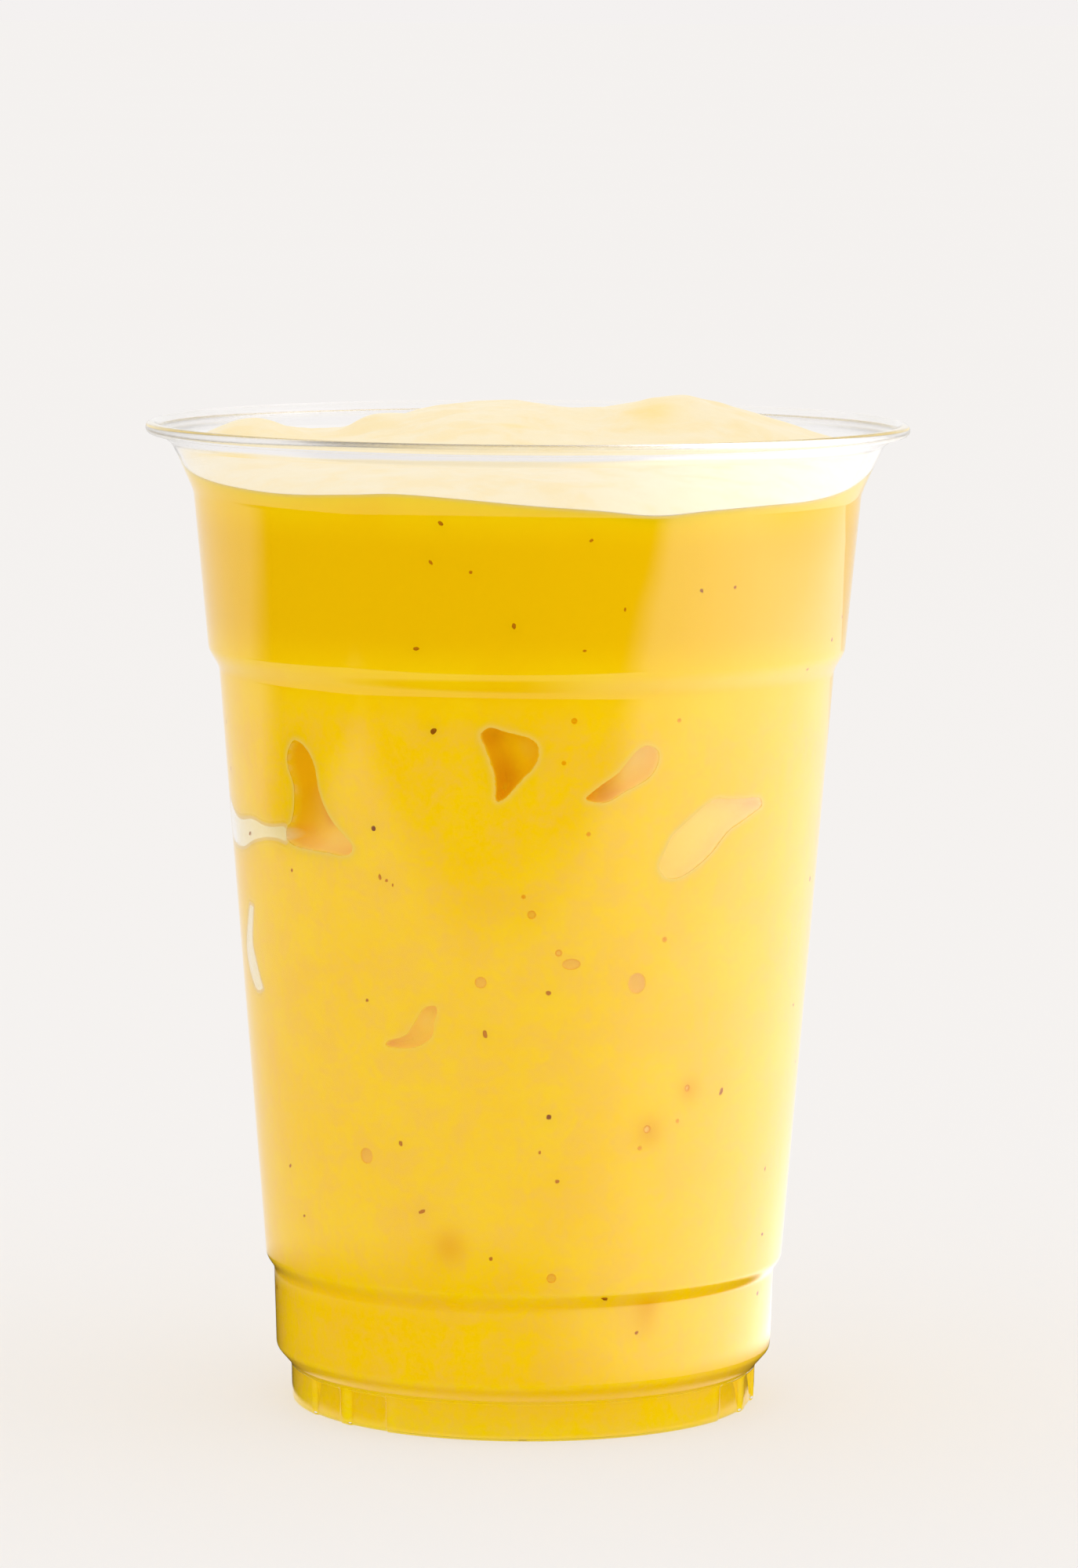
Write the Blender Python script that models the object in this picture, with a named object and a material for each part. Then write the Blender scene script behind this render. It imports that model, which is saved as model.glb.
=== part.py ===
"""A mango smoothie in its clear plastic cup, full to just under the rim and heaped above it.

Two named objects stand on the floor plane z = 0, with the cup's axis on Z and the side that
is shown facing -Y:

    cup       one thin turned shell with a rolled rim, two steps in its wall and a ribbed foot
    smoothie  the thick drink, with a heaped top and hollows of trapped air against the wall

Sizes are in millimetres and become metres through MM.
"""

import math

import bmesh
import bpy
from mathutils import Vector

MM = 0.001

# Cup, outside
CUP_HEIGHT = 123.1
RIM_RADIUS = 47.5
BEAD_RADIUS = 0.75
CREASE_RADIUS = 44.4
CREASE_HEIGHT = 120.5
NECK_RADIUS = 41.45
NECK_HEIGHT = 113.2
FLARE_POWER = 1.35
UPPER_STEP_TOP = (39.75, 95.4)
UPPER_STEP_BOTTOM = (38.35, 92.0)
LOWER_STEP_TOP = (32.45, 18.9)
LOWER_STEP_BOTTOM = (31.40, 16.6)
CHAMFER_TOP = (31.10, 6.9)
CHAMFER_BOTTOM = (29.35, 4.9)
FOOT_RADIUS = 29.1
FOOT_ROUNDING = 0.5

# Cup, inside and underneath
WALL = 0.5
FOOT_WALL = 0.9
FLOOR = 0.8
STAND_INNER_RADIUS = 25.0
PANEL_RADIUS = 23.8
PANEL_RISE = 1.5

# Foot ribs: groups of three round the foot, with the wall set back between them
RIB_GROUPS = 3
RIB_START = 54.0
RIB_PITCH = 15.5
RIBS_IN_GROUP = 3
RIB_WIDTH = 2.6
RIB_SIDE = 0.8
RIB_SETBACK = 0.35
RIB_TOP = 4.2

# Drink
GAP = 0.3
HEAP_FRONT = 118.6
HEAP_BACK = 120.2
HEAP_SPAN = 35.0
HEAP_EDGE_POWER = 6
FLARE_SLANT = 1.15
SIDE_SHARES = (0.33, 0.66, 1.0)

# Where the drink meets the wall: degrees from the front towards +X, and height
FILL_LINE = (
    (0, 115.3), (25, 113.95), (34, 114.6), (56, 114.6), (75, 117.2), (95, 119.4), (130, 120.0),
    (180, 120.0), (222, 119.3), (252, 120.2), (268, 119.8), (291, 117.2), (312, 115.9),
    (336, 116.4),
)

# Lumps of the heap: centre x and y, spread to -X, +X, -Y and +Y, and rise
LUMPS = (
    (-5.0, 10.0, 11.5, 11.5, 16.0, 14.0, 5.2),
    (20.0, 9.0, 8.0, 13.0, 10.0, 10.0, 5.5),
    (-19.5, 8.0, 2.4, 2.4, 2.4, 2.4, 1.4),
    (-36.5, 6.0, 5.6, 5.0, 8.0, 9.0, 4.2),
    (-35.5, -3.0, 2.5, 2.5, 2.0, 2.0, -1.0),
)

# Air trapped against the wall: degrees from the front, height, depth, and the outline's
# corners as distances along and up the wall from that place
AIR_POCKETS = (
    ("air_tall", -45.6, 78.7, 4.2, ((-2.3, 6.7), (-3.9, 5.2), (-3.3, 0.9), (-5.1, -4.5),
                                    (-3.8, -5.8), (6.2, -6.4), (3.2, -2.3), (0.9, 4.4))),
    ("air_heart", -3.9, 84.8, 3.6, ((-2.8, 3.6), (-0.2, 3.4), (2.7, 2.8), (3.9, 0.8),
                                    (2.3, -2.2), (-0.6, -5.2), (-1.2, -1.8), (-2.7, 1.7))),
    ("air_leaf", 19.6, 83.0, 3.0, ((-5.3, -3.3), (-2.6, -3.6), (1.4, -1.4), (3.7, 1.0),
                                   (3.4, 3.0), (1.2, 2.6), (-0.8, 0.5), (-3.6, -1.0))),
    ("air_long", 38.2, 74.7, 3.4, ((-7.2, -4.0), (-3.8, -4.7), (-0.3, -2.6), (2.4, 0.0),
                                   (8.2, 3.2), (4.9, 4.0), (0.3, 3.8), (-4.0, 1.3))),
    ("air_small", -23.1, 50.9, 2.2, ((-3.6, -1.9), (-0.6, -0.1), (1.2, 2.2), (2.7, 3.3),
                                     (2.6, 0.1), (1.5, -1.4), (-0.6, -2.1))),
)

# Facets
WIDEST_FACET = 7.3
STEP_POINTS = 3
FLARE_POINTS = 5
BEAD_POINTS = 8
HEAP_RINGS = 14
POCKET_POINTS = 18
POCKET_LAYERS = ((-2.0, 1.0), (0.9, 0.97), (2.2, 0.78), (3.2, 0.42))

# Colours and finish: red, green, blue, alpha, then roughness
PLASTIC = ((0.93, 0.94, 0.94, 0.25), 0.05)
MANGO = ((0.90, 0.60, 0.07, 1.0), 0.35)


def clear_scene():
    """Remove every object, so that the script gives the same result wherever it runs."""
    for thing in list(bpy.data.objects):
        bpy.data.objects.remove(thing, do_unlink=True)


def material(name, look):
    """Make a plain Principled material."""
    colour, roughness = look
    made = bpy.data.materials.new(name)
    made.use_nodes = True
    shader = made.node_tree.nodes["Principled BSDF"]
    shader.inputs["Base Color"].default_value = colour
    shader.inputs["Alpha"].default_value = colour[3]
    shader.inputs["Roughness"].default_value = roughness
    shader.inputs["Metallic"].default_value = 0.0
    made.diffuse_color = colour
    return made


def smooth(t):
    """Ease from 0 to 1 with level ends."""
    t = min(1.0, max(0.0, t))
    return t * t * (3.0 - 2.0 * t)


def eased_run(top, bottom, count):
    """Points of a soft step in the wall, from its top edge down to its bottom edge."""
    run = []
    for k in range(count + 1):
        t = k / count
        radius = top[0] + (bottom[0] - top[0]) * smooth(t)
        run.append((radius, top[1] + (bottom[1] - top[1]) * t))
    return run


def flare_radius(height):
    """Outer radius of the trumpet-shaped flare between the neck and the crease."""
    t = min(1.0, max(0.0, (height - NECK_HEIGHT) / (CREASE_HEIGHT - NECK_HEIGHT)))
    return NECK_RADIUS + (CREASE_RADIUS - NECK_RADIUS) * t ** FLARE_POWER


def flare_run():
    """Points of the flare, from the crease down to the neck."""
    run = []
    for k in range(FLARE_POINTS + 1):
        height = CREASE_HEIGHT + (NECK_HEIGHT - CREASE_HEIGHT) * k / FLARE_POINTS
        run.append((flare_radius(height), height))
    return run


def wall_run():
    """Outer wall from the crease down to the bottom of the chamfer above the foot."""
    run = flare_run()
    run += eased_run(UPPER_STEP_TOP, UPPER_STEP_BOTTOM, STEP_POINTS)
    run += eased_run(LOWER_STEP_TOP, LOWER_STEP_BOTTOM, STEP_POINTS)
    run += [CHAMFER_TOP, CHAMFER_BOTTOM]
    return run


def inset(run, distance):
    """Move a run of points inwards, towards the axis, square to its own line."""
    moved = []
    for k, (radius, height) in enumerate(run):
        before = run[max(k - 1, 0)]
        after = run[min(k + 1, len(run) - 1)]
        along = Vector((after[0] - before[0], after[1] - before[1])).normalized()
        moved.append((radius + along.y * distance, height - along.x * distance))
    return moved


def bead_run():
    """Points round the rolled rim, from its inner side over the top to its underside."""
    centre = (RIM_RADIUS - BEAD_RADIUS, CUP_HEIGHT - BEAD_RADIUS)
    run = []
    for k in range(BEAD_POINTS + 1):
        angle = math.radians(180.0 - 315.0 * k / BEAD_POINTS)
        run.append((centre[0] + BEAD_RADIUS * math.cos(angle),
                    centre[1] + BEAD_RADIUS * math.sin(angle)))
    return run


def floor_run(lift):
    """Inside of the foot and floor, raised by lift, from the foot's wall to the axis."""
    foot = FOOT_RADIUS - FOOT_WALL - lift
    return [
        (foot + 0.2, CHAMFER_BOTTOM[1] - 0.3 + lift * 0.5),
        (foot, FLOOR + 1.0 + lift),
        (foot - 0.8, FLOOR + lift),
        (STAND_INNER_RADIUS + 0.4 + lift * 0.5, FLOOR + lift),
        (PANEL_RADIUS + lift * 0.5, FLOOR + PANEL_RISE + lift),
    ]


def outside_foot_run():
    """Outside of the foot, from the chamfer down and round under to the raised panel."""
    corner = FOOT_ROUNDING
    return [
        (FOOT_RADIUS + 0.1, RIB_TOP),
        (FOOT_RADIUS, corner),
        (FOOT_RADIUS - corner * 0.3, corner * 0.3),
        (FOOT_RADIUS - corner, 0.0),
        (STAND_INNER_RADIUS, 0.0),
        (PANEL_RADIUS, PANEL_RISE),
    ]


def rib_angles():
    """Start and end of every rib of the foot, in degrees from the front towards +X."""
    ribs = []
    for group in range(RIB_GROUPS):
        first = RIB_START + 360.0 / RIB_GROUPS * group
        for k in range(RIBS_IN_GROUP):
            ribs.append((first + k * RIB_PITCH, first + k * RIB_PITCH + RIB_WIDTH))
    return ribs


def recess_angles():
    """Start and end of every set-back stretch between two ribs of a group."""
    recesses = []
    ribs = rib_angles()
    for k, (rib, following) in enumerate(zip(ribs, ribs[1:])):
        if (k + 1) % RIBS_IN_GROUP:
            recesses.append((rib[1] + RIB_SIDE, following[0] - RIB_SIDE))
    return recesses


def round_angles():
    """Angles round the axis in degrees: the ribs' edges, and an even fill between them."""
    marks = sorted([edge for rib in rib_angles() for edge in rib]
                   + [edge for recess in recess_angles() for edge in recess])
    angles = []
    for start, end in zip(marks, marks[1:] + [marks[0] + 360.0]):
        count = math.ceil((end - start) / WIDEST_FACET)
        angles += [start + (end - start) * k / count for k in range(count)]
    return angles


def place(radius, angle, height):
    """Point in metres at an angle in degrees from the front, -Y, towards +X."""
    turn = math.radians(angle)
    return Vector((radius * math.sin(turn), -radius * math.cos(turn), height)) * MM


def ring(mesh, angles, radius, height):
    """Add one ring of points; radius and height are functions of the angle."""
    return [mesh.verts.new(place(radius(a), a, height(a))) for a in angles]


def bridge(mesh, upper, lower):
    """Join two rings with a band of faces that look outwards."""
    count = len(upper)
    for k in range(count):
        n = (k + 1) % count
        mesh.faces.new((upper[k], lower[k], lower[n], upper[n]))


def close_ring(mesh, loop, centre, turned_over):
    """Close a ring with a fan of faces round a point on the axis."""
    count = len(loop)
    for k in range(count):
        n = (k + 1) % count
        if turned_over:
            mesh.faces.new((loop[n], loop[k], centre))
        else:
            mesh.faces.new((loop[k], loop[n], centre))


def finish_object(mesh, name, look, crease_degrees):
    """Turn a bmesh into a named, smooth-shaded object with its material."""
    bmesh.ops.recalc_face_normals(mesh, faces=mesh.faces)
    data = bpy.data.meshes.new(name)
    mesh.to_mesh(data)
    mesh.free()
    data.shade_smooth()
    data.set_sharp_from_angle(angle=math.radians(crease_degrees))
    data.materials.append(material(name, look))
    made = bpy.data.objects.new(name, data)
    bpy.context.scene.collection.objects.link(made)
    return made


def foot_setback(angle):
    """How far the foot's wall is set back at an angle."""
    for start, end in recess_angles():
        if -0.01 < (angle - start) % 360.0 < end - start + 0.01:
            return RIB_SETBACK
    return 0.0


def make_cup():
    """The shell: up the inside from the floor, over the rim, down the outside, and under."""
    outside = wall_run()
    inside = list(reversed(floor_run(0.0))) + list(reversed(inset(outside, WALL)))
    angles = round_angles()
    mesh = bmesh.new()
    rings = []
    for radius, height in inside + bead_run() + outside:
        rings.append(ring(mesh, angles, lambda a, r=radius: r, lambda a, h=height: h))
    for radius, height in outside_foot_run():
        ribbed = 1.0 if radius > STAND_INNER_RADIUS else 0.0
        rings.append(ring(mesh, angles, lambda a, r=radius, w=ribbed: r - w * foot_setback(a),
                          lambda a, h=height: h))
    for upper, lower in zip(rings, rings[1:]):
        bridge(mesh, upper, lower)
    top = mesh.verts.new(Vector((0.0, 0.0, FLOOR + PANEL_RISE)) * MM)
    under = mesh.verts.new(Vector((0.0, 0.0, PANEL_RISE)) * MM)
    close_ring(mesh, rings[0], top, False)
    close_ring(mesh, rings[-1], under, True)
    return finish_object(mesh, "cup", PLASTIC, 40.0)


def fill_height(angle):
    """Height at which the drink meets the wall, as a smooth curve through FILL_LINE."""
    angle = angle % 360.0
    count = len(FILL_LINE)
    for k in range(count):
        start, low = FILL_LINE[k]
        end, high = FILL_LINE[(k + 1) % count]
        end += 360.0 if k == count - 1 else 0.0
        if start <= angle <= end:
            before, lower = FILL_LINE[k - 1]
            before -= 360.0 if k == 0 else 0.0
            after, higher = FILL_LINE[(k + 2) % count]
            after += 360.0 if k >= count - 2 else 0.0
            span = end - start
            t = (angle - start) / span
            slope_in = (high - lower) / (end - before) * span
            slope_out = (higher - low) / (after - start) * span
            return (low * (2 * t ** 3 - 3 * t ** 2 + 1) + slope_in * (t ** 3 - 2 * t ** 2 + t)
                    + high * (3 * t ** 2 - 2 * t ** 3) + slope_out * (t ** 3 - t ** 2))
    return FILL_LINE[0][1]


def heap_height(x, y):
    """Height of the heap's top, away from the wall."""
    height = HEAP_FRONT + (HEAP_BACK - HEAP_FRONT) * smooth((y + HEAP_SPAN) / (2 * HEAP_SPAN))
    for centre_x, centre_y, left, right, front, back, rise in LUMPS:
        away_x = (x - centre_x) / (left if x < centre_x else right)
        away_y = (y - centre_y) / (front if y < centre_y else back)
        height += rise * math.exp(-0.5 * (away_x ** 2 + away_y ** 2))
    return height


def drink_side():
    """Level part of the drink's side, from its underside's rim up to the neck."""
    below_neck = inset(wall_run(), WALL + GAP)[FLARE_POINTS:]
    return list(reversed(floor_run(GAP))) + list(reversed(below_neck))


def drink_radius(height):
    """Radius of the drink's side within the flare, whose slope widens the level gap."""
    return flare_radius(height) - (WALL + GAP) * FLARE_SLANT


def make_smoothie():
    """The drink: its underside, its side up to the fill line, and its heaped top."""
    angles = round_angles()
    mesh = bmesh.new()
    rings = []
    for radius, height in drink_side():
        rings.append(ring(mesh, angles, lambda a, r=radius: r, lambda a, h=height: h))
    for share in SIDE_SHARES:
        def height_at(angle, share=share):
            return NECK_HEIGHT + (fill_height(angle) - NECK_HEIGHT) * share

        def radius_at(angle, height_at=height_at):
            return drink_radius(height_at(angle))

        rings.append(ring(mesh, angles, radius_at, height_at))
    for k in range(1, HEAP_RINGS):
        share = 1.0 - (k / HEAP_RINGS) ** 1.25

        def top_radius(angle, share=share):
            return drink_radius(fill_height(angle)) * share

        def top_height(angle, share=share, top_radius=top_radius):
            spot = place(top_radius(angle), angle, 0.0) / MM
            edge = fill_height(angle)
            return edge + (heap_height(spot.x, spot.y) - edge) * (1.0 - share ** HEAP_EDGE_POWER)

        rings.append(ring(mesh, angles, top_radius, top_height))
    for lower, upper in zip(rings, rings[1:]):
        bridge(mesh, upper, lower)
    under = mesh.verts.new(Vector((0.0, 0.0, FLOOR + PANEL_RISE + GAP)) * MM)
    top = mesh.verts.new(Vector((0.0, 0.0, heap_height(0.0, 0.0))) * MM)
    close_ring(mesh, rings[0], under, True)
    close_ring(mesh, rings[-1], top, False)
    bmesh.ops.triangulate(mesh, faces=mesh.faces)
    return finish_object(mesh, "smoothie", MANGO, 50.0)


def closed_curve(corners, count):
    """Even points on a smooth closed curve through the corners."""
    points = []
    total = len(corners)
    for k in range(count):
        along = k * total / count
        i = int(along)
        t = along - i
        a, b, c, d = (Vector(corners[(i + j) % total]) for j in (-1, 0, 1, 2))
        points.append(0.5 * (2 * b + (c - a) * t + (2 * a - 5 * b + 4 * c - d) * t ** 2
                             + (3 * b - a - 3 * c + d) * t ** 3))
    return points


def wall_radius(height):
    """Radius of the drink's side at any height between the steps."""
    slope = (UPPER_STEP_BOTTOM[0] - LOWER_STEP_TOP[0]) / (UPPER_STEP_BOTTOM[1] - LOWER_STEP_TOP[1])
    return LOWER_STEP_TOP[0] + (height - LOWER_STEP_TOP[1]) * slope - WALL - GAP


def make_pocket_cutter(name, angle, height, depth, corners):
    """A rounded plug of the pocket's outline that narrows into the drink."""
    outline = closed_curve(corners, POCKET_POINTS)
    middle = sum(outline, Vector((0.0, 0.0))) / len(outline)
    mesh = bmesh.new()
    layers = []
    for inwards, scale in POCKET_LAYERS:
        layer = []
        for point in outline:
            spot = middle + (point - middle) * scale
            radius = wall_radius(height + spot.y)
            sideways = math.degrees(spot.x / radius)
            sunk = inwards if inwards < 0.0 else inwards / POCKET_LAYERS[-1][0] * depth
            layer.append(mesh.verts.new(place(radius - sunk, angle + sideways,
                                              height + spot.y)))
        layers.append(layer)
    for outer, inner in zip(layers, layers[1:]):
        bridge(mesh, outer, inner)
    mesh.faces.new(layers[0])
    mesh.faces.new(list(reversed(layers[-1])))
    bmesh.ops.triangulate(mesh, faces=[f for f in mesh.faces if len(f.verts) > 4])
    cutter = finish_object(mesh, name, MANGO, 50.0)
    cutter.display_type = "WIRE"
    cutter.hide_render = True
    return cutter


def cut_pockets(drink):
    """Cut the trapped air out of the drink's side."""
    for name, angle, height, depth, corners in AIR_POCKETS:
        cutter = make_pocket_cutter(name, angle, height, depth, corners)
        cut = drink.modifiers.new(name, "BOOLEAN")
        cut.operation = "DIFFERENCE"
        cut.solver = "EXACT"
        cut.object = cutter


def main():
    """Build the cup and the drink in it."""
    clear_scene()
    make_cup()
    cut_pockets(make_smoothie())


main()
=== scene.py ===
"""Looks of a mango smoothie in its clear plastic cup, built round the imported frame.

Sizes are in millimetres and become metres through MM. Angles round the cup are in degrees
from the side that is shown, -Y, towards +X.
"""

import logging
import math
from dataclasses import dataclass, field
from enum import Enum

import bmesh
import bpy
import numpy as np
from mathutils import Matrix, Vector, geometry, noise


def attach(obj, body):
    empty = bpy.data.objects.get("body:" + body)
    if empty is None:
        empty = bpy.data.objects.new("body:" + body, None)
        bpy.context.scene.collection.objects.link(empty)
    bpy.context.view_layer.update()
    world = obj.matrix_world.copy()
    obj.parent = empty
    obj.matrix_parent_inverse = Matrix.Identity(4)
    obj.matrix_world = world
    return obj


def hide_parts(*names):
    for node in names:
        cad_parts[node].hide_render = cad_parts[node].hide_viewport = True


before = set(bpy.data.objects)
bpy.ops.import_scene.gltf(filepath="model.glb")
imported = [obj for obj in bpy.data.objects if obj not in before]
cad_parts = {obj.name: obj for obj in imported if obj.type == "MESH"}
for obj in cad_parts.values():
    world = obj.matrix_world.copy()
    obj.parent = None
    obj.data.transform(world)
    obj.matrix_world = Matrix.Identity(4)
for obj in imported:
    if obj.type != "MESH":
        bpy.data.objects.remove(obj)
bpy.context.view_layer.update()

LOG = logging.getLogger("smoothie")
MM = 0.001

Point = tuple[float, float]
Colour = tuple[float, float, float]


def linear(red: float, green: float, blue: float) -> tuple[float, float, float, float]:
    """Turn a colour on the screen's 0 to 255 scale into the renderer's own.

    Args:
        red: Red on the screen's scale.
        green: Green on the screen's scale.
        blue: Blue on the screen's scale.

    Returns:
        The colour in linear light, with an alpha of 1.
    """
    def one(value: float) -> float:
        """Undo the screen's curve for one channel."""
        share = value / 255.0
        return share / 12.92 if share <= 0.04045 else ((share + 0.055) / 1.055) ** 2.4

    return one(red), one(green), one(blue), 1.0


def ease(share: np.ndarray | float) -> np.ndarray | float:
    """Ease from 0 to 1 with level ends."""
    share = np.clip(share, 0.0, 1.0)
    return share * share * (3.0 - 2.0 * share)


def place(radius: np.ndarray | float, angle: np.ndarray | float,
          height: np.ndarray | float) -> np.ndarray:
    """Turn cup coordinates into points.

    Args:
        radius: Distance from the axis in millimetres.
        angle: Degrees from the shown side towards +X.
        height: Height above the floor in millimetres.

    Returns:
        Points in metres, one row each.
    """
    turn = np.radians(angle)
    radius, turn, height = np.broadcast_arrays(radius, turn, height)
    return np.stack([radius * np.sin(turn), -radius * np.cos(turn), height], axis=-1) * MM


# Shader graphs


class Socket:
    """A number in a shader graph, on which Python's operators add Math nodes."""

    def __init__(self, graph: "Graph", source: bpy.types.NodeSocket) -> None:
        """Wrap the output source of a node of graph."""
        self.graph = graph
        self.source = source

    def _with(self, operation: str, *values: "Socket | float") -> "Socket":
        """Add one Math node.

        Args:
            operation: The Math node's operation.
            values: What goes into its sockets, in order.

        Returns:
            The node's result.
        """
        made = self.graph.node("ShaderNodeMath", {"operation": operation}, dict(enumerate(values)))
        return Socket(self.graph, made.outputs[0])

    def __add__(self, other: "Socket | float") -> "Socket":
        """Sum."""
        return self._with("ADD", self, other)

    def __radd__(self, other: float) -> "Socket":
        """Sum with a number in front."""
        return self._with("ADD", other, self)

    def __sub__(self, other: "Socket | float") -> "Socket":
        """Difference."""
        return self._with("SUBTRACT", self, other)

    def __rsub__(self, other: float) -> "Socket":
        """Difference from a number in front."""
        return self._with("SUBTRACT", other, self)

    def __mul__(self, other: "Socket | float") -> "Socket":
        """Product."""
        return self._with("MULTIPLY", self, other)

    def __rmul__(self, other: float) -> "Socket":
        """Product with a number in front."""
        return self._with("MULTIPLY", other, self)

    def __truediv__(self, other: "Socket | float") -> "Socket":
        """Quotient."""
        return self._with("DIVIDE", self, other)

    def at_least(self, other: "Socket | float") -> "Socket":
        """The higher of the two."""
        return self._with("MAXIMUM", self, other)

    def root(self) -> "Socket":
        """Square root."""
        return self._with("SQRT", self)

    def at_most(self, other: "Socket | float") -> "Socket":
        """The lower of the two."""
        return self._with("MINIMUM", self, other)

    def ramp(self, low: float, high: float) -> "Socket":
        """Ease from 0 at low to 1 at high.

        Args:
            low: The value that gives 0.
            high: The value that gives 1.

        Returns:
            The eased share.
        """
        made = self.graph.node(
            "ShaderNodeMapRange", {"interpolation_type": "SMOOTHSTEP"},
            {"Value": self, "From Min": low, "From Max": high, "To Min": 0.0, "To Max": 1.0})
        return Socket(self.graph, made.outputs[0])


class Graph:
    """The nodes of one material or of the world."""

    def __init__(self, tree: bpy.types.NodeTree) -> None:
        """Start from an empty tree."""
        self.tree = tree
        tree.nodes.clear()

    def node(self, kind: str, settings: dict | None = None,
             inputs: dict | None = None) -> bpy.types.Node:
        """Add a node.

        Args:
            kind: The node's type.
            settings: Its own settings, set before its sockets.
            inputs: Values or links by the name or number of a socket.

        Returns:
            The node.
        """
        made = self.tree.nodes.new(kind)
        for name, value in (settings or {}).items():
            setattr(made, name, value)
        for name, value in (inputs or {}).items():
            self._feed(made.inputs[name], value)
        return made

    def _feed(self, target: bpy.types.NodeSocket, value: object) -> None:
        """Link or set one input.

        Args:
            target: The input.
            value: A wrapped number, an output socket, or a plain value.
        """
        if isinstance(value, Socket):
            self.tree.links.new(value.source, target)
        elif isinstance(value, bpy.types.NodeSocket):
            self.tree.links.new(value, target)
        else:
            target.default_value = value

    def number(self, made: bpy.types.Node, output: str | int = 0) -> Socket:
        """Wrap a node's output as a number."""
        return Socket(self, made.outputs[output])

    def mix(self, factor: Socket | float, first: object,
            second: object) -> bpy.types.NodeSocket:
        """Mix two colours.

        Args:
            factor: How much of the second.
            first: The first colour or its link.
            second: The second colour or its link.

        Returns:
            The mixed colour's socket.
        """
        made = self.node("ShaderNodeMix", {"data_type": "RGBA"},
                         {0: factor, 6: first, 7: second})
        return made.outputs[2]

    def grain(self, where: object, scale: float, detail: float = 2.0,
              roughness: float = 0.5, warp: float = 0.0) -> Socket:
        """Noise from 0 to 1.

        Args:
            where: The coordinates' socket.
            scale: Cells per metre.
            detail: Octaves.
            roughness: Weight of the finer octaves.
            warp: How much the noise is distorted.

        Returns:
            The noise as a number.
        """
        made = self.node("ShaderNodeTexNoise", {"noise_dimensions": "3D"},
                         {"Vector": where, "Scale": scale, "Detail": detail,
                          "Roughness": roughness, "Distortion": warp})
        return self.number(made, "Fac" if "Fac" in made.outputs else 0)

    def object_place(self) -> bpy.types.NodeSocket:
        """The point's place in the object's own space."""
        return self.node("ShaderNodeTexCoord").outputs["Object"]

    def axes(self, where: bpy.types.NodeSocket) -> tuple[Socket, Socket, Socket]:
        """Split a place into its three numbers."""
        made = self.node("ShaderNodeSeparateXYZ", {}, {0: where})
        return tuple(Socket(self, output) for output in made.outputs)

    def unscattered(self) -> Socket:
        """1 for rays that no dull surface has scattered yet, else 0."""
        rays = self.node("ShaderNodeLightPath")
        return 1.0 - self.number(rays, "Diffuse Depth").at_most(1.0)

    def mirrored(self) -> Socket:
        """1 for rays that something shiny has mirrored on their way, else 0."""
        rays = self.node("ShaderNodeLightPath")
        return self.number(rays, "Glossy Depth").at_most(1.0)

    def stored(self, name: str) -> Socket:
        """A number that the mesh stores for each point."""
        return self.number(self.node("ShaderNodeAttribute", {"attribute_name": name}), "Fac")


def new_material(name: str) -> tuple[bpy.types.Material, Graph]:
    """Make an empty node material.

    Args:
        name: The finish's name.

    Returns:
        The material and its graph.
    """
    made = bpy.data.materials.new(name)
    made.use_nodes = True
    return made, Graph(made.node_tree)


# Finishes


@dataclass(frozen=True)
class ClearPlastic:
    """Thin clear moulded plastic, slightly wavy."""

    ior: float = 1.49
    roughness: float = 0.02
    rim_roughness: float = 0.16
    rim_start: float = 0.1198
    rim_end: float = 0.1212
    wave_scale: float = 55.0
    wave_strength: float = 0.06

    def material(self) -> bpy.types.Material:
        """The finish as a material."""
        made, graph = new_material("clear_plastic")
        where = graph.object_place()
        wave = graph.grain(where, self.wave_scale, 1.0)
        rim = graph.axes(where)[2].ramp(self.rim_start, self.rim_end)
        rough = self.roughness + rim * (self.rim_roughness - self.roughness)
        bump = graph.node("ShaderNodeBump", {}, {"Strength": self.wave_strength,
                                                "Distance": 0.002, "Height": wave})
        shader = graph.node("ShaderNodeBsdfPrincipled", {}, {
            "Base Color": (1.0, 1.0, 1.0, 1.0), "Roughness": rough, "IOR": self.ior,
            "Transmission Weight": 1.0, "Normal": bump.outputs[0]})
        open_light = graph.node("ShaderNodeBsdfTransparent", {}, {"Color": (1.0, 1.0, 1.0, 1.0)})
        rays = graph.node("ShaderNodeLightPath")
        mixed = graph.node("ShaderNodeMixShader", {}, {
            0: rays.outputs["Is Shadow Ray"], 1: shader.outputs[0], 2: open_light.outputs[0]})
        graph.node("ShaderNodeOutputMaterial", {}, {"Surface": mixed.outputs[0]})
        return made


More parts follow.
